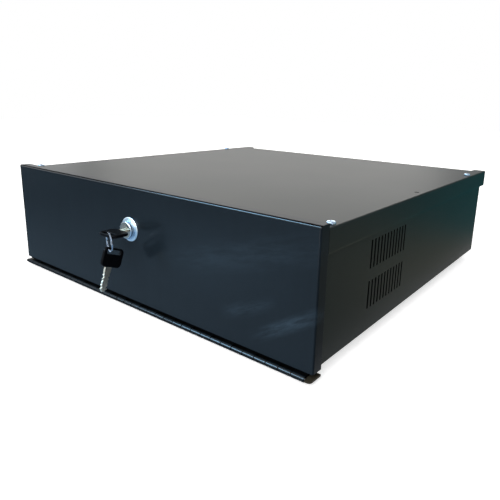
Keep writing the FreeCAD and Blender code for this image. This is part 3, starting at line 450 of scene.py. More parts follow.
def front_paint(colour):
    """The front: streaked, with a painted sheen right of its middle, rubbed strokes low on the right, and a
    painted shade line and a glossy line at its top.
    """
    low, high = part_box("door_panel")
    height, half = high.z - low.z, high.x
    top, face = high.z, low.y
    return powder_coat(
        "satin_black_front", tinted(colour, FRONT_TINT), streaks=FRONT_STREAKS,
        # painted sheen: a paler patch right of the middle, standing in for soft light reflected on the front
        wear_and_sheen=(("X", -0.05 * half, 0.45 * half), ("X", 0.95 * half, 0.5 * half),
              ("Z", low.z + 0.2 * height, low.z + 0.55 * height),
              ("Z", low.z + 0.95 * height, low.z + 0.6 * height)),
        strokes=((0.88 * half, low.z + 0.28 * height, 31, 0.42 * half, 0.13 * height, 0.9),
                 (0.69 * half, low.z + 0.3 * height, 25, 0.32 * half, 0.14 * height, 0.45),
                 # the third stroke is a broad faint band high across the right, painted sheen rather than a
                 # rubbed mark
                 (0.66 * half, low.z + 0.68 * height, 15, 0.95 * half, 0.3 * height, 0.3)),
        glossy=(("Z", top - 1.9 * MM, top - 1.7 * MM), ("Z", top - 0.6 * MM, top - 0.8 * MM),
                ("Y", face + 1.2 * MM, face + 0.9 * MM)),
        half_glossy=(("Y", face + 0.3 * MM, face + 0.15 * MM),),
        # painted shade: a dark, dull line along the top of the bend
        shaded=(("Z", top - 0.9 * MM, top - 0.7 * MM), ("Y", face + 2.6 * MM, face + 2.3 * MM)))


def hinge_paint(colour):
    """The hinge: glossy along the top of its barrel, more so to the right, with painted shade behind it."""
    low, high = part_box("door_panel")
    _, y, z = JOINTS["front_hinge"]["pos_m"]
    return powder_coat(
        "glossy_black_hinge", tinted(colour, HINGE_TINT),
        glossy=(("Z", z + 0.5 * MM, z + 1.0 * MM), ("Y", y + 0.4 * MM, y),
                ("X", -1.5 * high.x, 1.2 * high.x)),
        # painted shade: the leaf behind the barrel, under the front, painted near black and dull
        shaded=(("Y", y + 0.3 * MM, y + 1.0 * MM), ("Z", low.z + 1.0 * MM, low.z)))


def sill_paint():
    """The sill: khaki grey where its ends stand past the hinge's barrel, with painted shade behind the
    barrel.
    """
    pin_low, pin_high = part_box("hinge_pin")
    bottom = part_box("door_panel")[0].z
    return powder_coat(
        "worn_black_sill", SILL_COLOUR,
        # painted shade: the sill behind the hinge's barrel, between the pin's ends, painted near black
        shaded=(("X", pin_low.x, pin_low.x + 0.5 * MM), ("X", pin_high.x, pin_high.x - 0.5 * MM),
                ("Z", bottom - 2.0 * MM, bottom - 2.5 * MM)))


@cache
def materials():
    """Every finish of the box, by a plain name."""
    finish = bpy.context.scene.box_finish
    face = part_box("lock_housing")[0].y
    return {
        # painted reflection: the sheets round the box get a warmer copy of the paint
        **sheet_paints([channel * gain for channel, gain in zip(finish.paint, SHEET_REFLECTION_TINTS)]),
        "door_paint": front_paint(finish.paint),
        "hinge_paint": hinge_paint(finish.paint),
        "sill_paint": sill_paint(),
        "zinc": plated("bright_zinc", (0.66, 0.68, 0.70), 0.18, 0.34),
        # painted reflection: the blue in the screws' zinc and in the chrome of the ring, rim and lock stands
        # in for the cool light that they reflect
        "screw": plated("blue_zinc", (0.3, 0.4, 0.52), 0.14, 0.2),
        "chrome": plated("bright_chrome", (0.6, 0.68, 0.79), 0.07, 0.1, 20 * MM, POLISHED),
        "rim": plated("satin_rim", (0.72, 0.86, 1.0), 0.28, 0.32, 20 * MM, POLISHED),
        "lock": plated("satin_chrome", (0.45, 0.58, 0.72), 0.2, 0.24, 20 * MM, POLISHED,
                       wear_and_sheen=(("Y", face + 0.12 * MM, face + 0.04 * MM),)),
        # painted shade: the pin's steel is made dark for where it shows between the knuckles
        "pin": plated("steel_pin", (0.3, 0.31, 0.32), 0.25, 0.4),
        "ball": plated("polished_balls", (0.72, 0.73, 0.74), 0.06, 0.12),
        "nickel": plated("nickel_silver", (0.6, 0.57, 0.48), 0.4, 0.48),
        "plug": plated("worn_plug", BARE_NICKEL, 0.3, 0.4, 3 * MM),
        "plastic": moulded("black_key_plastic", finish.plastic, 0.36, 0.05, 0.25 * MM),
        "rubber": moulded("black_rubber", finish.rubber, 0.75, 0.3, 0.4 * MM),
    }


# ---------------------------------------------------------------- mesh helpers
CAD_MERGE, MERGE, ON_AXIS = 1e-6, 1e-7, 1e-9    # distances at which points count as one
FLAT_ANGLE = math.radians(0.5)                  # faces of a solid nearer than this to one plane are joined


def smooth(mesh, angle=35.0):
    """Smooth faces with sharp edges where two faces meet at more than an angle."""
    mesh.shade_smooth()
    mesh.set_sharp_from_angle(angle=math.radians(angle))


def in_scene(name, data):
    """A new object in the scene, at the origin."""
    thing = bpy.data.objects.new(name, data)
    bpy.context.scene.collection.objects.link(thing)
    return thing


def object_of(name, mesh, material):
    """A scene object at the origin with one material."""
    mesh.materials.clear()
    mesh.materials.append(materials()[material])
    return in_scene(name, mesh)


def settle(piece, node):
    """Rides a finished piece on the body of the solid that it dresses, in its place."""
    body = frame["nodes"][node]["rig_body"]
    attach(piece, body)
    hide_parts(node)


def mesh_from(build, name):
    """Runs a bmesh builder and returns a clean mesh."""
    bm = bmesh.new()
    build(bm)
    bmesh.ops.remove_doubles(bm, verts=bm.verts, dist=MERGE)
    mesh = bpy.data.meshes.new(name)
    bm.to_mesh(mesh)
    bm.free()
    return mesh


def plain(piece):
    """Takes the piece's modifiers into its mesh."""
    evaluated = piece.evaluated_get(bpy.context.evaluated_depsgraph_get())
    mesh = bpy.data.meshes.new_from_object(evaluated)
    piece.modifiers.clear()
    piece.data = mesh
    return piece


def modified(piece, kind, **settings):
    """Runs a modifier on a piece and takes it into the mesh."""
    modifier = piece.modifiers.new(kind.lower(), kind)
    for name, value in settings.items():
        setattr(modifier, name, value)
    return plain(piece)


def bevelled(piece, width, angle=32.0):
    """Rounds the piece's sharp edges."""
    return modified(piece, "BEVEL", width=width, segments=2, limit_method="ANGLE",
                    angle_limit=math.radians(angle))


def cut_out(piece, tool_mesh):
    """Cuts a tool's form out of a piece."""
    tool = in_scene("tool", tool_mesh)
    modified(piece, "BOOLEAN", operation="DIFFERENCE", solver="EXACT", object=tool)
    bpy.data.objects.remove(tool)
    return piece


def mesh_alone(piece):
    """The piece's mesh, without the piece."""
    mesh = piece.data
    bpy.data.objects.remove(piece)
    return mesh


def show(piece, node, angle=35.0):
    """Shades a finished piece, flat up to its rounded edges, and puts it in place of a solid."""
    smooth(piece.data, angle)
    settle(modified(piece, "WEIGHTED_NORMAL", weight=100, keep_sharp=True), node)


def show_mesh(name, mesh, material, node, angle=35.0):
    """Shows a mesh in place of a solid."""
    mesh.name = name
    show(object_of(name, mesh, material), node, angle)


def show_rounded(node, material, width):
    """Shows a merged copy of a solid, with rounded edges, in its place."""
    def build(bm):
        bm.from_mesh(frame["nodes"][node].data)
        bmesh.ops.remove_doubles(bm, verts=bm.verts, dist=CAD_MERGE)
        bmesh.ops.dissolve_limit(bm, angle_limit=FLAT_ANGLE, verts=bm.verts, edges=bm.edges)

    name = node + "_form"
    show(bevelled(object_of(name, mesh_from(build, name), material), width), node)


def islands(node):
    """Low and high corners of each separate solid in a node, in a steady order."""
    bm = bmesh.new()
    bm.from_mesh(frame["nodes"][node].data)
    bmesh.ops.remove_doubles(bm, verts=bm.verts, dist=CAD_MERGE)
    waiting = set(bm.verts)
    boxes = []
    while waiting:
        front = [waiting.pop()]
        found = []
        while front:
            vert = front.pop()
            found.append(vert.co.copy())
            for edge in vert.link_edges:
                other = edge.other_vert(vert)
                if other in waiting:
                    waiting.remove(other)
                    front.append(other)
        boxes.append([Vector(limit(co[axis] for co in found) for axis in range(3)) for limit in (min, max)])
    bm.free()
    return sorted(boxes, key=lambda box: tuple(round(c, 6) for c in middle_of(box)))


def middle_of(box):
    """Middle of a box that is given by its low and high corners."""
    return (box[0] + box[1]) / 2


def at_height(box, z):
    """The place at a height on the upright line through a box's middle."""
    return (*middle_of(box).xy, z)


def basis_along(axis):
    """A turn that takes Z to an axis."""
    return Vector(axis).normalized().to_track_quat("Z", "Y").to_matrix().to_4x4()


def moved(mesh, matrix):
    """The same mesh, moved by a matrix."""
    mesh.transform(matrix)
    return mesh


def arc(centre, radius, start, end, steps):
    """Points on an arc, in degrees, both ends included."""
    points = []
    for step in range(steps + 1):
        angle = math.radians(start + (end - start) * step / steps)
        points.append((centre[0] + radius * math.cos(angle), centre[1] + radius * math.sin(angle)))
    return points


def revolved(name, profile, segments):
    """Turns a profile of (radius, height) about Z. A profile that ends on the axis gets closed poles."""
    def build(bm):
        rings = []
        for radius, height in profile:
            angles = [2 * math.pi * n / segments for n in range(segments if radius > ON_AXIS else 1)]
            rings.append([bm.verts.new((radius * math.cos(a), radius * math.sin(a), height)) for a in angles])
        pairs = list(zip(rings, rings[1:]))
        if len(rings[0]) > 1 and len(rings[-1]) > 1:
            pairs.append((rings[-1], rings[0]))
        for first, second in pairs:
            for n in range(segments):
                after = (n + 1) % segments
                corners = dict.fromkeys((first[n % len(first)], first[after % len(first)],
                                         second[after % len(second)], second[n % len(second)]))
                if len(corners) > 2:
                    bm.faces.new(corners)
        bmesh.ops.recalc_face_normals(bm, faces=bm.faces)

    return mesh_from(build, name)


def lofted(name, outlines, heights):
    """A closed form between two outlines of (x, y), at two heights."""
    def build(bm):
        low, high = ([bm.verts.new((x, y, z)) for x, y in outline] for outline, z in zip(outlines, heights))
        bm.faces.new(reversed(low))
        bm.faces.new(high)
        for n in range(len(low)):
            after = (n + 1) % len(low)
            bm.faces.new((low[n], low[after], high[after], high[n]))
        bmesh.ops.recalc_face_normals(bm, faces=bm.faces)

    return mesh_from(build, name)


def prism(name, outline, start, end):
    """Extrudes an outline of (x, y) along Z from start to end."""
    return lofted(name, (outline, outline), (start, end))


# ---------------------------------------------------------------- node trees for what repeats
def tree_with(name, **sockets):
    """A geometry node tree with named inputs: a base, the piece that it repeats or winds, and its sizes."""
    tree = bpy.data.node_groups.new(name, "GeometryNodeTree")
    inputs = {"Geometry": "Geometry", "Piece": "Object", **sockets, "Material": "Material"}
    for label, kind in inputs.items():
        tree.interface.new_socket(label, in_out="INPUT", socket_type="NodeSocket" + kind)
    tree.interface.new_socket("Geometry", in_out="OUTPUT", socket_type="NodeSocketGeometry")
    return tree, tree.nodes.new("NodeGroupInput").outputs


def finish_tree(tree, inputs, geometry):
    """Realize Instances, then Set Material, then out."""
    real = add_node(tree, "GeometryNodeRealizeInstances", {"Geometry": geometry}).outputs["Geometry"]
    painted = add_node(tree, "GeometryNodeSetMaterial", {"Geometry": real, "Material": inputs["Material"]})
    add_node(tree, "NodeGroupOutput", {"Geometry": painted.outputs["Geometry"]})
    return tree


def piece_node(tree, inputs):
    """The geometry of the object that the input Piece names."""
    return add_node(tree, "GeometryNodeObjectInfo", {"Object": inputs["Piece"]}).outputs["Geometry"]


def copies_node(tree, inputs, points):
    """A copy of the piece at each point."""
    sockets = {"Points": points, "Instance": piece_node(tree, inputs)}
    return add_node(tree, "GeometryNodeInstanceOnPoints", sockets).outputs["Instances"]


@cache
def places_tree():
    """Puts a copy of a piece at every vertex of the object that it is on."""
    tree, inputs = tree_with("at_places")
    return finish_tree(tree, inputs, copies_node(tree, inputs, inputs["Geometry"]))


@cache
def row_tree():
    """Adds a row of copies of a piece, a step apart, to the mesh that it is on."""
    tree, inputs = tree_with("in_a_row", Count="Int", First="Vector", Step="Vector")
    line = add_node(tree, "GeometryNodeMeshLine", {
        "Count": inputs["Count"], "Start Location": inputs["First"], "Offset": inputs["Step"]}, mode="OFFSET")
    joined = add_node(tree, "GeometryNodeJoinGeometry", {"Geometry": inputs["Geometry"]})
    tree.links.new(copies_node(tree, inputs, line.outputs["Mesh"]), joined.inputs["Geometry"])
    return finish_tree(tree, inputs, joined.outputs["Geometry"])


@cache
def coil_tree():
    """Winds the outline in Piece into a split ring."""
    tree, inputs = tree_with("split_ring", Radius="Float", Turns="Float", Rise="Float", Steps="Int")
    spiral = add_node(tree, "GeometryNodeCurveSpiral", {
        "Start Radius": inputs["Radius"], "End Radius": inputs["Radius"], "Rotations": inputs["Turns"],
        "Height": inputs["Rise"], "Resolution": inputs["Steps"]})
    section = add_node(tree, "GeometryNodeMeshToCurve", {"Mesh": piece_node(tree, inputs)})
    wire = add_node(tree, "GeometryNodeCurveToMesh", {
        "Curve": spiral.outputs["Curve"], "Profile Curve": section.outputs["Curve"], "Fill Caps": True})
    return finish_tree(tree, inputs, wire.outputs["Mesh"])


def grown(base, tree, material, pattern, **values):
    """Runs a node tree on a base mesh, with a pattern mesh as its piece, and returns the plain mesh."""
    holder = in_scene("holder", base)
    piece = in_scene("pattern", pattern)
    modifier = holder.modifiers.new("nodes", "NODES")
    modifier.node_group = tree
    sockets = {item.name: item.identifier for item in tree.interface.items_tree if item.in_out == "INPUT"}
    for name, value in {**values, "Piece": piece, "Material": materials()[material]}.items():
        modifier[sockets[name]] = value
    mesh = mesh_alone(plain(holder))
    bpy.data.objects.remove(piece)
    return mesh


def at_places(name, pattern, places, material):
    """One mesh with a copy of a pattern at each place."""
    points = bpy.data.meshes.new(name + "_places")
    points.from_pydata(places, [], [])
    return grown(points, places_tree(), material, pattern)


def show_repeated(name, pattern, node, material, place_of):
    """Shows copies of one fastener or foot in place of each solid of a node."""
    places = [place_of(box) for box in islands(node)]
    show_mesh(name, at_places(name, pattern, places, material), material, node)


# ---------------------------------------------------------------- sheet steel and slides
def sheet_steel():
    """Painted sheet pieces with softened edges."""
    edge = bpy.context.scene.box_finish.edge
    for node, material in (("case_shell", "case_paint"), ("rear_panel", "paint"), ("strike_rail", "paint"),
                           ("drawer_tray", "tray_paint"), ("top_cover", "cover_paint"),
                           ("front_sill", "sill_paint"), ("door_panel", "door_paint")):
        show_rounded(node, material, edge)


def slides():
    """Bright zinc slide members, and their ball cages, whose solids stay with a better finish."""
    edge = bpy.context.scene.box_finish.edge * 0.6
    for side in ("left", "right"):
        for member in ("outer", "middle", "inner"):
            show_rounded(f"slide_{side}_{member}_member", "zinc", edge)
        for cage in ("outer", "inner"):
            mesh = frame["nodes"][f"slide_{side}_{cage}_ball_cage"].data
            mesh.materials.clear()
            mesh.materials.append(materials()["ball"])


# ---------------------------------------------------------------- continuous hinge
KNUCKLE_CURL = 292              # degrees that a knuckle's sheet goes round the pin
CURL_STEPS = (22, 16)           # steps of its outside and its inside
KNUCKLE_EASE = 0.22 * MM
PIN_EASE = 0.3 * MM
Z_TO_X = Matrix(((0, 0, 1, 0), (1, 0, 0, 0), (0, 1, 0, 0), (0, 0, 0, 1)))


def rolled_section(radius, sheet, start, tail):
    """Outline of a knuckle: sheet rolled round the pin from an angle, then its tail to the leaf."""
    end = start + math.copysign(KNUCKLE_CURL, start)
    outside = arc((0, 0), radius, start, end, CURL_STEPS[0])
    inside = arc((0, 0), radius - sheet, end, start, CURL_STEPS[1])
    return outside + inside + tail


def knuckle_mesh(section, width):
    """A rolled knuckle along X, from a section in Y and Z, with eased ends."""
    mesh = moved(prism("knuckle", section, 0, width), Z_TO_X)
    return mesh_alone(bevelled(object_of("knuckle", mesh, "paint"), KNUCKLE_EASE, angle=50))


def hinge():
    """Two leaves whose knuckles alternate along one pin."""
    sizes = bpy.context.scene.box_sizes
    _, axis_y, axis_z = JOINTS["front_hinge"]["pos_m"]
    door_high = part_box("hinge_door_leaf")[1]
    drawer_low, drawer_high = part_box("hinge_drawer_leaf")
    pin_low, pin_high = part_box("hinge_pin")
    pitch = (pin_high.x - pin_low.x) / sizes.knuckles
    sheet = sizes.hinge_sheet
    radius = axis_y - drawer_low.y
    inner = radius - sheet
    # the drawer's leaf lies level under the axis
    behind = 2 * radius
    drawer_section = rolled_section(radius, sheet, -90, [(behind, -inner), (behind, -radius)])
    drawer_leaf = ((behind, drawer_high.y - axis_y), (axis_z - radius, axis_z - inner))
    # the front's leaf leaves its knuckles over the axis and turns upright
    back = door_high.y - axis_y
    turn = radius + 0.2 * sheet
    door_section = rolled_section(radius, sheet, 90, [(0.55 * radius, 1.02 * inner), (back, turn - sheet),
                                                      (back, turn), (back - sheet, turn)])
    door_leaf = ((back - sheet, back), (axis_z + turn, door_high.z))
    for first, node, section, (depth, heights) in ((0, "hinge_drawer_leaf", drawer_section, drawer_leaf),
                                                   (1, "hinge_door_leaf", door_section, door_leaf)):
        start, end = (axis_y + y for y in depth)
        outline = [(pin_low.x, start), (pin_high.x, start), (pin_high.x, end), (pin_low.x, end)]
        mesh = grown(prism(node, outline, *heights), row_tree(), "hinge_paint",
                     knuckle_mesh(section, pitch - sizes.knuckle_gap), Count=sizes.knuckles // 2,
                     First=(pin_low.x + first * pitch + sizes.knuckle_gap / 2, axis_y, axis_z),
                     Step=(2 * pitch, 0, 0))
        show_mesh(node + "_form", mesh, "hinge_paint", node)
    hinge_pin(pin_low, pin_high, (pin_low.x, axis_y, axis_z))


def hinge_pin(low, high, start):
    """The pin, with eased ends, from its start along X."""
    radius, length = (high.z - low.z) / 2, high.x - low.x
    profile = [(0, 0), (radius - PIN_EASE, 0), (radius, PIN_EASE), (radius, length - PIN_EASE),
               (radius - PIN_EASE, length), (0, length)]
    mesh = moved(revolved("pin", profile, segments=24), Matrix.Translation(start) @ basis_along((1, 0, 0)))
    show_mesh("hinge_pin_form", mesh, "pin", "hinge_pin")


# ---------------------------------------------------------------- fasteners
# domed heads
HEAD_SIDE = 0.42                # share of the height that is upright
HEAD_FULLNESS = 0.55            # under 1 makes the crown fuller than a round one

# screws
TIP_WIDTH, TIP_START = 0.7, 0.93    # shares of the shank's radius and length
CROSS_REACH, CROSS_SLOT = 0.56, 0.2     # the driver's recess, as shares of the head's radius
CROSS_FLOOR, CROSS_TOP = 0.35, 1.3      # and of its height
CROSS_TAPER = (0.5, 0.8)        # how its reach and its slot narrow to the floor
NUT_EASE = 0.08                 # share of a nut's height

# rivets
TAIL_WIDTHS = (1.1, 1.45, 1.2)  # of the set tail, from its end, as shares of the shank's radius
MANDREL = 0.55                  # radius of the pin in the head, as a share of the shank's
MANDREL_EDGE, MANDREL_FLOOR = 0.98, 0.8     # heights of its edge and its hollow, as shares of the head's
MANDREL_TAPER = 0.94            # width of the hollow's floor over the pin's
MANDREL_RIM = 1.15              # where the head's crown ends, over the pin's radius


def dome(radius, height, steps=7):
    """Profile of a pan head from its edge up to its crown."""
    side = height * HEAD_SIDE
    points = [(radius, 0), (radius, side)]
    for step in range(1, steps):
        angle = math.pi / 2 * step / steps
        points.append((radius * math.cos(angle) ** HEAD_FULLNESS, side + (height - side) * math.sin(angle)))
    return points + [(0, height)]


def cross_outline(reach, width):
    """Outline of an upright cross."""
    half = width / 2
    points = []
    for turn in (-270, -180, -90, 0):
        across, along = math.cos(math.radians(turn)), math.sin(math.radians(turn))
        points += [(x * across - y * along, x * along + y * across)
                   for x, y in ((reach, -half), (reach, half), (half, half))]
    return points


def cross_head(head_radius, head_height, shank_radius, shank_length):
    """Pan head screw whose head stands on Z = 0, with a tapered cross recess for the driver."""
    reach, slot = head_radius * CROSS_REACH, head_radius * CROSS_SLOT
    profile = [(0, -shank_length), (shank_radius * TIP_WIDTH, -shank_length),
               (shank_radius, -shank_length * TIP_START), (shank_radius, 0)] + dome(head_radius, head_height)
    outlines = cross_outline(reach * CROSS_TAPER[0], slot * CROSS_TAPER[1]), cross_outline(reach, slot)
    cross = lofted("cross", outlines, (head_height * CROSS_FLOOR, head_height * CROSS_TOP))
    screw = object_of("screw", revolved("screw", profile, segments=40), "zinc")
    return mesh_alone(cut_out(screw, cross))


def rivet_mesh(head_radius, head_height, shank_radius, length, tail=0.0):
    """Domed rivet whose head stands on Z = 0; a blind rivet also has a set tail behind its shank."""
    profile = [(0, -length - tail)]
    if tail:
        heights = (-length - tail, -length - tail / 2, -length)
        profile += [(shank_radius * width, height) for width, height in zip(TAIL_WIDTHS, heights)]
    mandrel = shank_radius * MANDREL
    edge, hollow = head_height * MANDREL_EDGE, head_height * MANDREL_FLOOR
    profile += [(shank_radius, -length), (shank_radius, 0)]
    profile += [point for point in dome(head_radius, head_height, 6) if point[0] > mandrel * MANDREL_RIM]
    profile += [(mandrel, edge), (mandrel * MANDREL_TAPER, hollow), (0, hollow)]
    return revolved("rivet", profile, segments=32)


def nut_mesh(flats, height, bore):
    """Hexagon nut standing on Z = 0, with eased corners."""
    hexagon = arc((0, 0), flats / math.sqrt(3), 0, 300, 5)
    hole = [(0, -height), (bore, -height), (bore, height * 2), (0, height * 2)]
    nut = object_of("nut", prism("nut", hexagon, 0, height), "zinc")
    cut_out(nut, revolved("bore", hole, segments=40))
    return mesh_alone(bevelled(nut, height * NUT_EASE, angle=40))


def fasteners():
    """Cover screws, rivets and the screws that hold the tray to its slides."""
    sizes = bpy.context.scene.box_sizes
    cover_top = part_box("top_cover")[1].z
    low, high = islands("cover_screws")[0]
    head = (high.x - low.x) / 2
    screw = cross_head(head, high.z - cover_top, head / 2, cover_top - low.z)
    show_repeated("cover_screw_heads", screw, "cover_screws", "screw",
                  lambda box: at_height(box, cover_top))
    rise, shank = sizes.rivet_head, sizes.rivet / 2
    low, high = islands("rear_panel_rivets")[0]
    blind = rivet_mesh((high.x - low.x) / 2, rise, shank, high.z - low.z - 2 * rise, rise)
    show_repeated("rear_rivets", blind, "rear_panel_rivets", "zinc",
                  lambda box: at_height(box, box[1].z - rise))
    low, high = islands("sill_rivets")[0]
    solid = rivet_mesh((high.x - low.x) / 2, rise, shank, high.y - low.y - rise)
    show_repeated("sill_rivet_heads", moved(solid, basis_along((0, -1, 0))), "sill_rivets", "zinc",
                  lambda box: (middle_of(box).x, box[0].y + rise, middle_of(box).z))
    tray_screws()


def tray_screws():
    """Low cross-recess screws from inside the tray, three to a side."""
    sizes = bpy.context.scene.box_sizes
    boxes = islands("tray_slide_screws")
    low, high = boxes[0]
    rise = sizes.slide_screw_head
    meshes = []
    for side in (-1, 1):
        screw = cross_head((high.z - low.z) / 2, rise, sizes.slide_screw / 2, high.x - low.x - rise)
        moved(screw, basis_along((-side, 0, 0)))
        places = [(box[0].x + rise if side > 0 else box[1].x - rise, *middle_of(box).yz)
                  for box in boxes if box[0].x * side > 0]
        meshes.append(at_places("tray_screws", screw, places, "zinc"))

    def build(bm):
        for mesh in meshes:
            bm.from_mesh(mesh)

    show_mesh("tray_screw_heads", mesh_from(build, "tray_screws"), "zinc", "tray_slide_screws")


# ---------------------------------------------------------------- feet and grommets
FOOT_ROUNDING = 1.0 * MM        # of a foot's lower edge
FOOT_DRAFT = 0.15 * MM          # how far its side leans in under its top edge
HEAD_ROOM = 0.3 * MM            # round a screw's head in its foot
BORE_ROOM = 0.1 * MM            # round the screw's shank in the foot
NUT_ROOM = 0.05 * MM            # round the shank in the nut
NECK_ROOM = 0.1 * MM            # between a grommet's neck and its hole
GROMMET_CHAMFER = 0.4 * MM      # width of the chamfer where a grommet's bore opens
CHAMFER_DEPTH = 0.6             # its depth, as a share of the lip's rounding


def feet():
    """Tapered rubber feet, each with its screw and nut."""
    sizes = bpy.context.scene.box_sizes
    low, high = islands("rubber_feet")[0]
    screw_low, screw_high = islands("foot_screws")[0]
    nut_low, nut_high = islands("foot_nuts")[0]
    shank, seat = sizes.foot_screw / 2, sizes.foot_recess
    top, height = (high.x - low.x) / 2, high.z - low.z
    head = (screw_high.x - screw_low.x) / 2
    bore, recess = shank + BORE_ROOM, head + HEAD_ROOM
    soft = FOOT_ROUNDING
    ground = sizes.foot_ground / 2 - soft
    profile = [(bore, seat), (recess, seat), (recess, soft / 2), (recess + soft / 2, 0), (ground, 0)]
    profile += arc((ground, soft), soft, -70, -5, 5)
    profile += [(top - FOOT_DRAFT, height - soft), (top, height - soft / 2), (top, height), (bore, height)]
    show_repeated("feet_form", revolved("foot", profile, segments=48), "rubber_feet", "rubber",
                  lambda box: at_height(box, box[0].z))
    rise = low.z + seat - screw_low.z
    screw = cross_head(head, rise, shank, screw_high.z - screw_low.z - rise)
    show_repeated("foot_screw_heads", moved(screw, basis_along((0, 0, -1))), "foot_screws", "zinc",
                  lambda box: at_height(box, box[0].z + rise))
    nut = nut_mesh(nut_high.y - nut_low.y, nut_high.z - nut_low.z, shank + NUT_ROOM)
    show_repeated("foot_nuts_form", nut, "foot_nuts", "zinc", lambda box: at_height(box, box[0].z))


def grommets():
    """Rubber rings with rounded lips in the cable holes, from the outline of one on its axis."""
    sizes = bpy.context.scene.box_sizes
    panel_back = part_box("rear_panel")[1].y
    bore = sizes.grommet_bore / 2
    for side in ("left", "right"):
        node = "cable_grommet_" + side
        low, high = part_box(node)
        lip = (high.x - low.x) / 2
        neck = lip - sizes.grommet_lip - NECK_ROOM
        outside = high.y - panel_back
        inside = panel_back - sizes.panel_sheet - low.y
        back = inside + sizes.panel_sheet
        soft = outside / 2
        opening, deep = bore + GROMMET_CHAMFER, soft * CHAMFER_DEPTH
        profile = [(bore, deep), (opening, 0), (lip - soft, 0)]
        profile += arc((lip - soft, soft), soft, -60, 0, 4)
        profile += [(lip, inside), (neck, inside), (neck, back), (lip, back)]
        profile += arc((lip - soft, back + outside - soft), soft, 0, 90, 5)
        profile += [(opening, back + outside), (bore, back + outside - deep)]
        mesh = revolved(node, profile, segments=56)
        moved(mesh, Matrix.Translation(((low.x + high.x) / 2, low.y, (low.z + high.z) / 2))
              @ basis_along((0, 1, 0)))
        show_mesh(node + "_form", mesh, "rubber", node)


# ---------------------------------------------------------------- lock and keys
LOCK_EASE = 0.25 * MM           # edges of the lock's housing
BORE_LIP = 0.06 * MM            # bevel where the plug's bore meets the head
BODY_ROOM = 0.05 * MM           # between the rim and the lock's body
RIM_STEPS = 8                   # steps of the rim's dish
COIL_PITCH = 1.04               # rise of the key ring's coil over its thickness
WIRE_FLAT, WIRE_SIDE = 0.5, 0.4     # flats of its wire, as shares of its width and its height


def turned_on_lock(name, profile, material, node):
    """Shows a round piece of the lock, from its outline of (radius, y) in the frame."""
    x, _, z = JOINTS["lock_turn"]["pos_m"]
    mesh = revolved(name, profile, segments=96)
    moved(mesh, Matrix.Translation((x, 0, z)) @ basis_along((0, 1, 0)))
    show_mesh(name, mesh, material, node)


def lock_case():
    """The lock's housing with its rounded head, and the dished rim under it."""
    sizes = bpy.context.scene.box_sizes
    low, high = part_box("lock_housing")
    rim_low, rim_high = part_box("lock_rim")
    bore, body, head = sizes.plug_bore / 2, sizes.lock_body / 2, sizes.lock_head / 2
    collar = (high.x - low.x) / 2
    soft = sizes.lock_rounding
    step = rim_low.y - sizes.lock_collar
    profile = [(bore, high.y), (bore, low.y + BORE_LIP), (bore + BORE_LIP, low.y), (head - soft, low.y)]
    profile += arc((head - soft, low.y + soft), soft, -80, 0, 8)
    profile += [(head, step - LOCK_EASE), (collar, step + LOCK_EASE), (collar, rim_low.y), (body, rim_low.y),
                (body, high.y - LOCK_EASE), (body - LOCK_EASE, high.y)]
    turned_on_lock("lock_housing_form", profile, "lock", "lock_housing")
    flat = collar + sizes.rim_flat
    outer = (rim_high.x - rim_low.x) / 2
    edge = rim_high.y - sizes.rim_edge
    profile = [(body + BODY_ROOM, rim_high.y), (body + BODY_ROOM, rim_low.y), (flat, rim_low.y)]
    for part in range(1, RIM_STEPS + 1):
        angle = math.pi / 2 * part / RIM_STEPS
        profile.append((flat + (outer - flat) * math.sin(angle), edge - (edge - rim_low.y) * math.cos(angle)))
    turned_on_lock("lock_rim_form", profile + [(outer, rim_high.y)], "rim", "lock_rim")


def lock_works_and_keys():
    """The lock's plug, nut, cam and cam screw, and the keys' bows and blades, with eased edges."""
    for node, material, slot, width in (
            ("lock_plug", "plug", "bright_chrome", 0.06), ("lock_nut", "zinc", "zinc", 0.3),
            ("lock_cam", "zinc", "zinc", 0.2), ("cam_screw", "zinc", "zinc", 0.2),
            ("key_bow", "plastic", "black_plastic", 0.25), ("key_blade", "nickel", "nickel", 0.12),
            ("spare_key_bow", "plastic", "black_plastic", 0.25),
            ("spare_key_blade", "nickel", "nickel", 0.12)):
        show_rounded(node, material, width * MM)


def split_ring():
    """Two close coils of flat wire, where the solid is one plain ring."""
    sizes = bpy.context.scene.box_sizes
    low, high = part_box("key_ring")
    wide, thick = sizes.ring_wire / 2, sizes.coil_thickness / 2
    rise = 2 * sizes.coil_thickness * COIL_PITCH
    flat, side = wide * WIRE_FLAT, thick * WIRE_SIDE
    section = [(flat, thick), (-flat, thick), (-wide, side), (-wide, -side),
               (-flat, -thick), (flat, -thick), (wide, -side), (wide, side)]
    wire = bpy.data.meshes.new("wire")
    wire.from_pydata([(x, y, 0) for x, y in section], [(n, (n + 1) % 8) for n in range(8)], [])
    mesh = grown(bpy.data.meshes.new("coils"), coil_tree(), "chrome", wire,
                 Radius=(high.z - low.z) / 2 - wide, Turns=2.0, Rise=rise, Steps=48)
    joint = JOINTS["ring_swing"]
    moved(mesh, Matrix.Translation(joint["pos_m"]) @ basis_along(joint["axis"])
          @ Matrix.Translation((0, 0, -rise / 2)))
    show_mesh("key_ring_form", mesh, "chrome", "key_ring", angle=50)


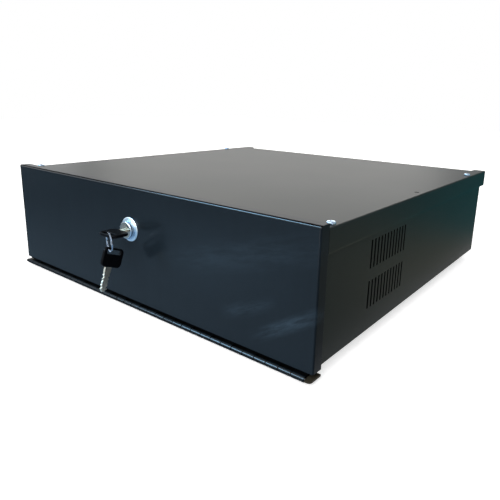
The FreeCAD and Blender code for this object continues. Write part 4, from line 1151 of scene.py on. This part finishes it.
# ---------------------------------------------------------------- stage
def make_camera():
    """The camera, turned by its yaw, pitch and roll."""
    level = math.cos(CAMERA_PITCH)
    forward = Vector((math.sin(CAMERA_YAW) * level, math.cos(CAMERA_YAW) * level, -math.sin(CAMERA_PITCH)))
    right = Vector((math.cos(CAMERA_YAW), -math.sin(CAMERA_YAW), 0))
    up = right.cross(forward)
    side = right * math.cos(CAMERA_ROLL) + up * math.sin(CAMERA_ROLL)
    top = up * math.cos(CAMERA_ROLL) - right * math.sin(CAMERA_ROLL)
    data = bpy.data.cameras.new("camera")
    data.sensor_width = CAMERA_SENSOR
    data.lens = CAMERA_LENS
    data.shift_x, data.shift_y = CAMERA_SHIFT
    data.clip_start = CAMERA_NEAR
    camera = in_scene("camera", data)
    turn = Matrix((side, top, -forward)).transposed().to_4x4()
    camera.matrix_world = Matrix.Translation(CAMERA_PLACE) @ turn
    bpy.context.scene.camera = camera


def seen_directly(tree):
    """1 for what the camera, polished metal and clear parts see, 0 for the light that spreads."""
    path = tree.nodes.new("ShaderNodeLightPath")
    seen = math_node(tree, "MAXIMUM", path.outputs["Is Camera Ray"], path.outputs["Is Glossy Ray"])
    return math_node(tree, "MAXIMUM", seen, path.outputs["Is Transmission Ray"])


def make_world(soft_light):
    """A white background that lights the box only softly."""
    world = bpy.data.worlds.new("studio")
    bpy.context.scene.world = world
    world.use_nodes = True
    tree = world.node_tree
    strength = range_node(tree, seen_directly(tree), 0, 1, soft_light, 1)
    fill(tree, tree.nodes["Background"], {"Color": (1, 1, 1, 1), "Strength": strength})


def make_sheet(name, low, high):
    """A sheet of paper for the stage, level or upright between two corners, with its tree and shader."""
    (left, front, bottom), (right, back, top) = low, high
    corners = [(left, front, bottom), (right, front, bottom), (right, back, top), (left, back, top)]
    mesh = bpy.data.meshes.new(name)
    mesh.from_pydata(corners, [], [(0, 1, 2, 3)])
    material, tree, shader = new_material(name + "_paper")
    mesh.materials.append(material)
    return in_scene(name, mesh), tree, shader


def make_floor(stage):
    """A pale floor at the feet's level, which keeps the box's shadow."""
    half, level = stage.floor_size / 2, CAD_LOW.z
    floor, tree, shader = make_sheet("floor", (-half, -half, level), (half, half, level))
    glow = math_node(tree, "MULTIPLY", seen_directly(tree), stage.floor_glow)
    fill(tree, shader, {"Base Color": (*stage.floor_colour, 1), "Roughness": 0.9, "Specular IOR Level": 0.0,
                        "Emission Color": (1, 1, 1, 1), "Emission Strength": glow})


def make_lamp(name, power, place, target, size, colour, diffuse):
    """A rectangular lamp that points from its place to a target; without diffuse only gloss shows it."""
    data = bpy.data.lights.new(name, "AREA")
    data.shape = "RECTANGLE"
    data.size, data.size_y = size
    data.energy = power
    data.color = colour
    lamp = in_scene(name, data)
    aim = (Vector(target) - Vector(place)).to_track_quat("-Z", "Y")
    lamp.matrix_world = Matrix.Translation(place) @ aim.to_matrix().to_4x4()
    lamp.visible_diffuse = diffuse


def make_card(name, low, high, axis, *stops):
    """A card seen only in gloss, whose colour changes along an axis. Each stop is (place, colour)."""
    card, tree, shader = make_sheet(name, low, high)
    for sight in ("camera", "diffuse", "shadow", "transmission"):
        setattr(card, "visible_" + sight, False)
    along = axes_node(tree, place_node(tree))[axis]
    place, shade = stops[0]
    for next_place, next_shade in stops[1:]:
        shade = blend_node(tree, range_node(tree, along, place, next_place, 0, 1), shade, next_shade)
        place = next_place
    glow = shade if len(stops) > 1 else (*shade, 1)
    fill(tree, shader, {"Base Color": (0, 0, 0, 1), "Specular IOR Level": 0.0, "Emission Color": glow,
                        "Emission Strength": 1.0})


def make_cards():
    """Cards that stand in for the surroundings: right of the box, far behind it and before its front."""
    level = CAD_LOW.z + 1 * MM
    near, far = CAD_HIGH.x + 0.02, 1.6
    start, end, height = -0.35, 2.6, 1.0
    make_card("side_card", (near, start, level), (far, end, level), "Y", (-0.3, (0.1, 0.08, 0.04)),
              (0.05, (0.66, 0.66, 0.5)), (0.22, (0.52, 0.52, 0.38)), (0.42, (0.0, 0.36, 0.4)))
    make_card("far_card", (near, end, level), (far, end, height), "Y", (end, (0.0, 0.24, 0.26)))
    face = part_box("door_panel")[0].y - 4 * MM
    make_card("front_card", (-2.4, -2.0, level), (0.32, face, level), "X", (-0.6, (0.14, 0.22, 0.3)),
              (0.0, (0.42, 0.6, 0.8)))


LAMPS = (
    # name, setting of its power, place, target, size, colour, whether it lights more than gloss
    ("main_lamp", "key_power", (0.25, -1.5, 1.2), (0, 0, 0.05), (1.4, 1.2), (1, 1, 1), True),
    ("back_lamp", "back_power", (-1.2, 1.6, 1.0), (0, 0, 0.1), (2.0, 1.0), (1.0, 0.97, 0.93), True),
    ("window", "window_power", (-0.85, -1.15, 1.0), (0.1, -0.23, 0.1), (0.8, 0.5), (0.34, 0.68, 1.0), False),
    ("far_window", "far_power", (-2.3, 0.65, 0.5), (-0.15, -0.15, 0.12), (0.8, 0.6), (1, 1, 1), False),
)


def set_stage():
    """Camera, background, floor, lamps and cards."""
    stage = bpy.context.scene.box_stage
    bpy.context.scene.view_settings.view_transform = "Standard"
    make_camera()
    make_world(stage.fill)
    make_floor(stage)
    for name, power, *rest in LAMPS:
        make_lamp(name, getattr(stage, power), *rest)
    make_cards()


# ---------------------------------------------------------------- operators
class BOX_OT_stage(bpy.types.Operator):
    """Builds the camera, floor, background and lamps"""

    bl_idname = "box.stage"
    bl_label = "Stage"

    def execute(self, context):
        set_stage()
        return {"FINISHED"}


class BOX_OT_sheet_steel(bpy.types.Operator):
    """Dresses the case, cover, rear panel, strike rail, tray, sill and drop-down front"""

    bl_idname = "box.sheet_steel"
    bl_label = "Sheet steel"

    def execute(self, context):
        sheet_steel()
        return {"FINISHED"}


class BOX_OT_hinge(bpy.types.Operator):
    """Makes the continuous hinge: two leaves with rolled knuckles, and the pin"""

    bl_idname = "box.hinge"
    bl_label = "Hinge"

    def execute(self, context):
        hinge()
        return {"FINISHED"}


class BOX_OT_fasteners(bpy.types.Operator):
    """Makes the cover screws, rivets and tray screws"""

    bl_idname = "box.fasteners"
    bl_label = "Fasteners"

    def execute(self, context):
        fasteners()
        return {"FINISHED"}


class BOX_OT_feet(bpy.types.Operator):
    """Makes the rubber feet with their screws and nuts, and the cable grommets"""

    bl_idname = "box.feet"
    bl_label = "Feet and grommets"

    def execute(self, context):
        feet()
        grommets()
        return {"FINISHED"}


class BOX_OT_slides(bpy.types.Operator):
    """Dresses the telescopic slides and their ball cages"""

    bl_idname = "box.slides"
    bl_label = "Slides"

    def execute(self, context):
        slides()
        return {"FINISHED"}


class BOX_OT_lock_and_keys(bpy.types.Operator):
    """Dresses the cam lock, its keys and their ring"""

    bl_idname = "box.lock_and_keys"
    bl_label = "Lock and keys"

    def execute(self, context):
        lock_case()
        lock_works_and_keys()
        split_ring()
        return {"FINISHED"}


class BOX_PT_panel(bpy.types.Panel):
    """Lists the steps that dress the box"""

    bl_idname = "BOX_PT_panel"
    bl_label = "Equipment Box"
    bl_space_type = "VIEW_3D"
    bl_region_type = "UI"
    bl_category = "Equipment Box"

    def draw(self, context):
        column = self.layout.column()
        for operator in OPERATORS:
            column.operator(operator.bl_idname)


OPERATORS = (BOX_OT_sheet_steel, BOX_OT_hinge, BOX_OT_fasteners, BOX_OT_feet, BOX_OT_slides,
             BOX_OT_lock_and_keys, BOX_OT_stage)
CLASSES = (BoxFinish, BoxSizes, StageSettings, *OPERATORS, BOX_PT_panel)


def register():
    """Adds the classes, and their settings to the scene."""
    for item in CLASSES:
        bpy.utils.register_class(item)
    bpy.types.Scene.box_finish = PointerProperty(type=BoxFinish)
    bpy.types.Scene.box_sizes = PointerProperty(type=BoxSizes)
    bpy.types.Scene.box_stage = PointerProperty(type=StageSettings)


def unregister():
    """Takes the settings and the classes away again."""
    del bpy.types.Scene.box_stage
    del bpy.types.Scene.box_sizes
    del bpy.types.Scene.box_finish
    for item in reversed(CLASSES):
        bpy.utils.unregister_class(item)


def main():
    """Registers the add-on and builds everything."""
    register()
    bpy.ops.box.sheet_steel()
    bpy.ops.box.hinge()
    bpy.ops.box.fasteners()
    bpy.ops.box.feet()
    bpy.ops.box.slides()
    bpy.ops.box.lock_and_keys()
    bpy.ops.box.stage()


if __name__ == "__main__":
    main()
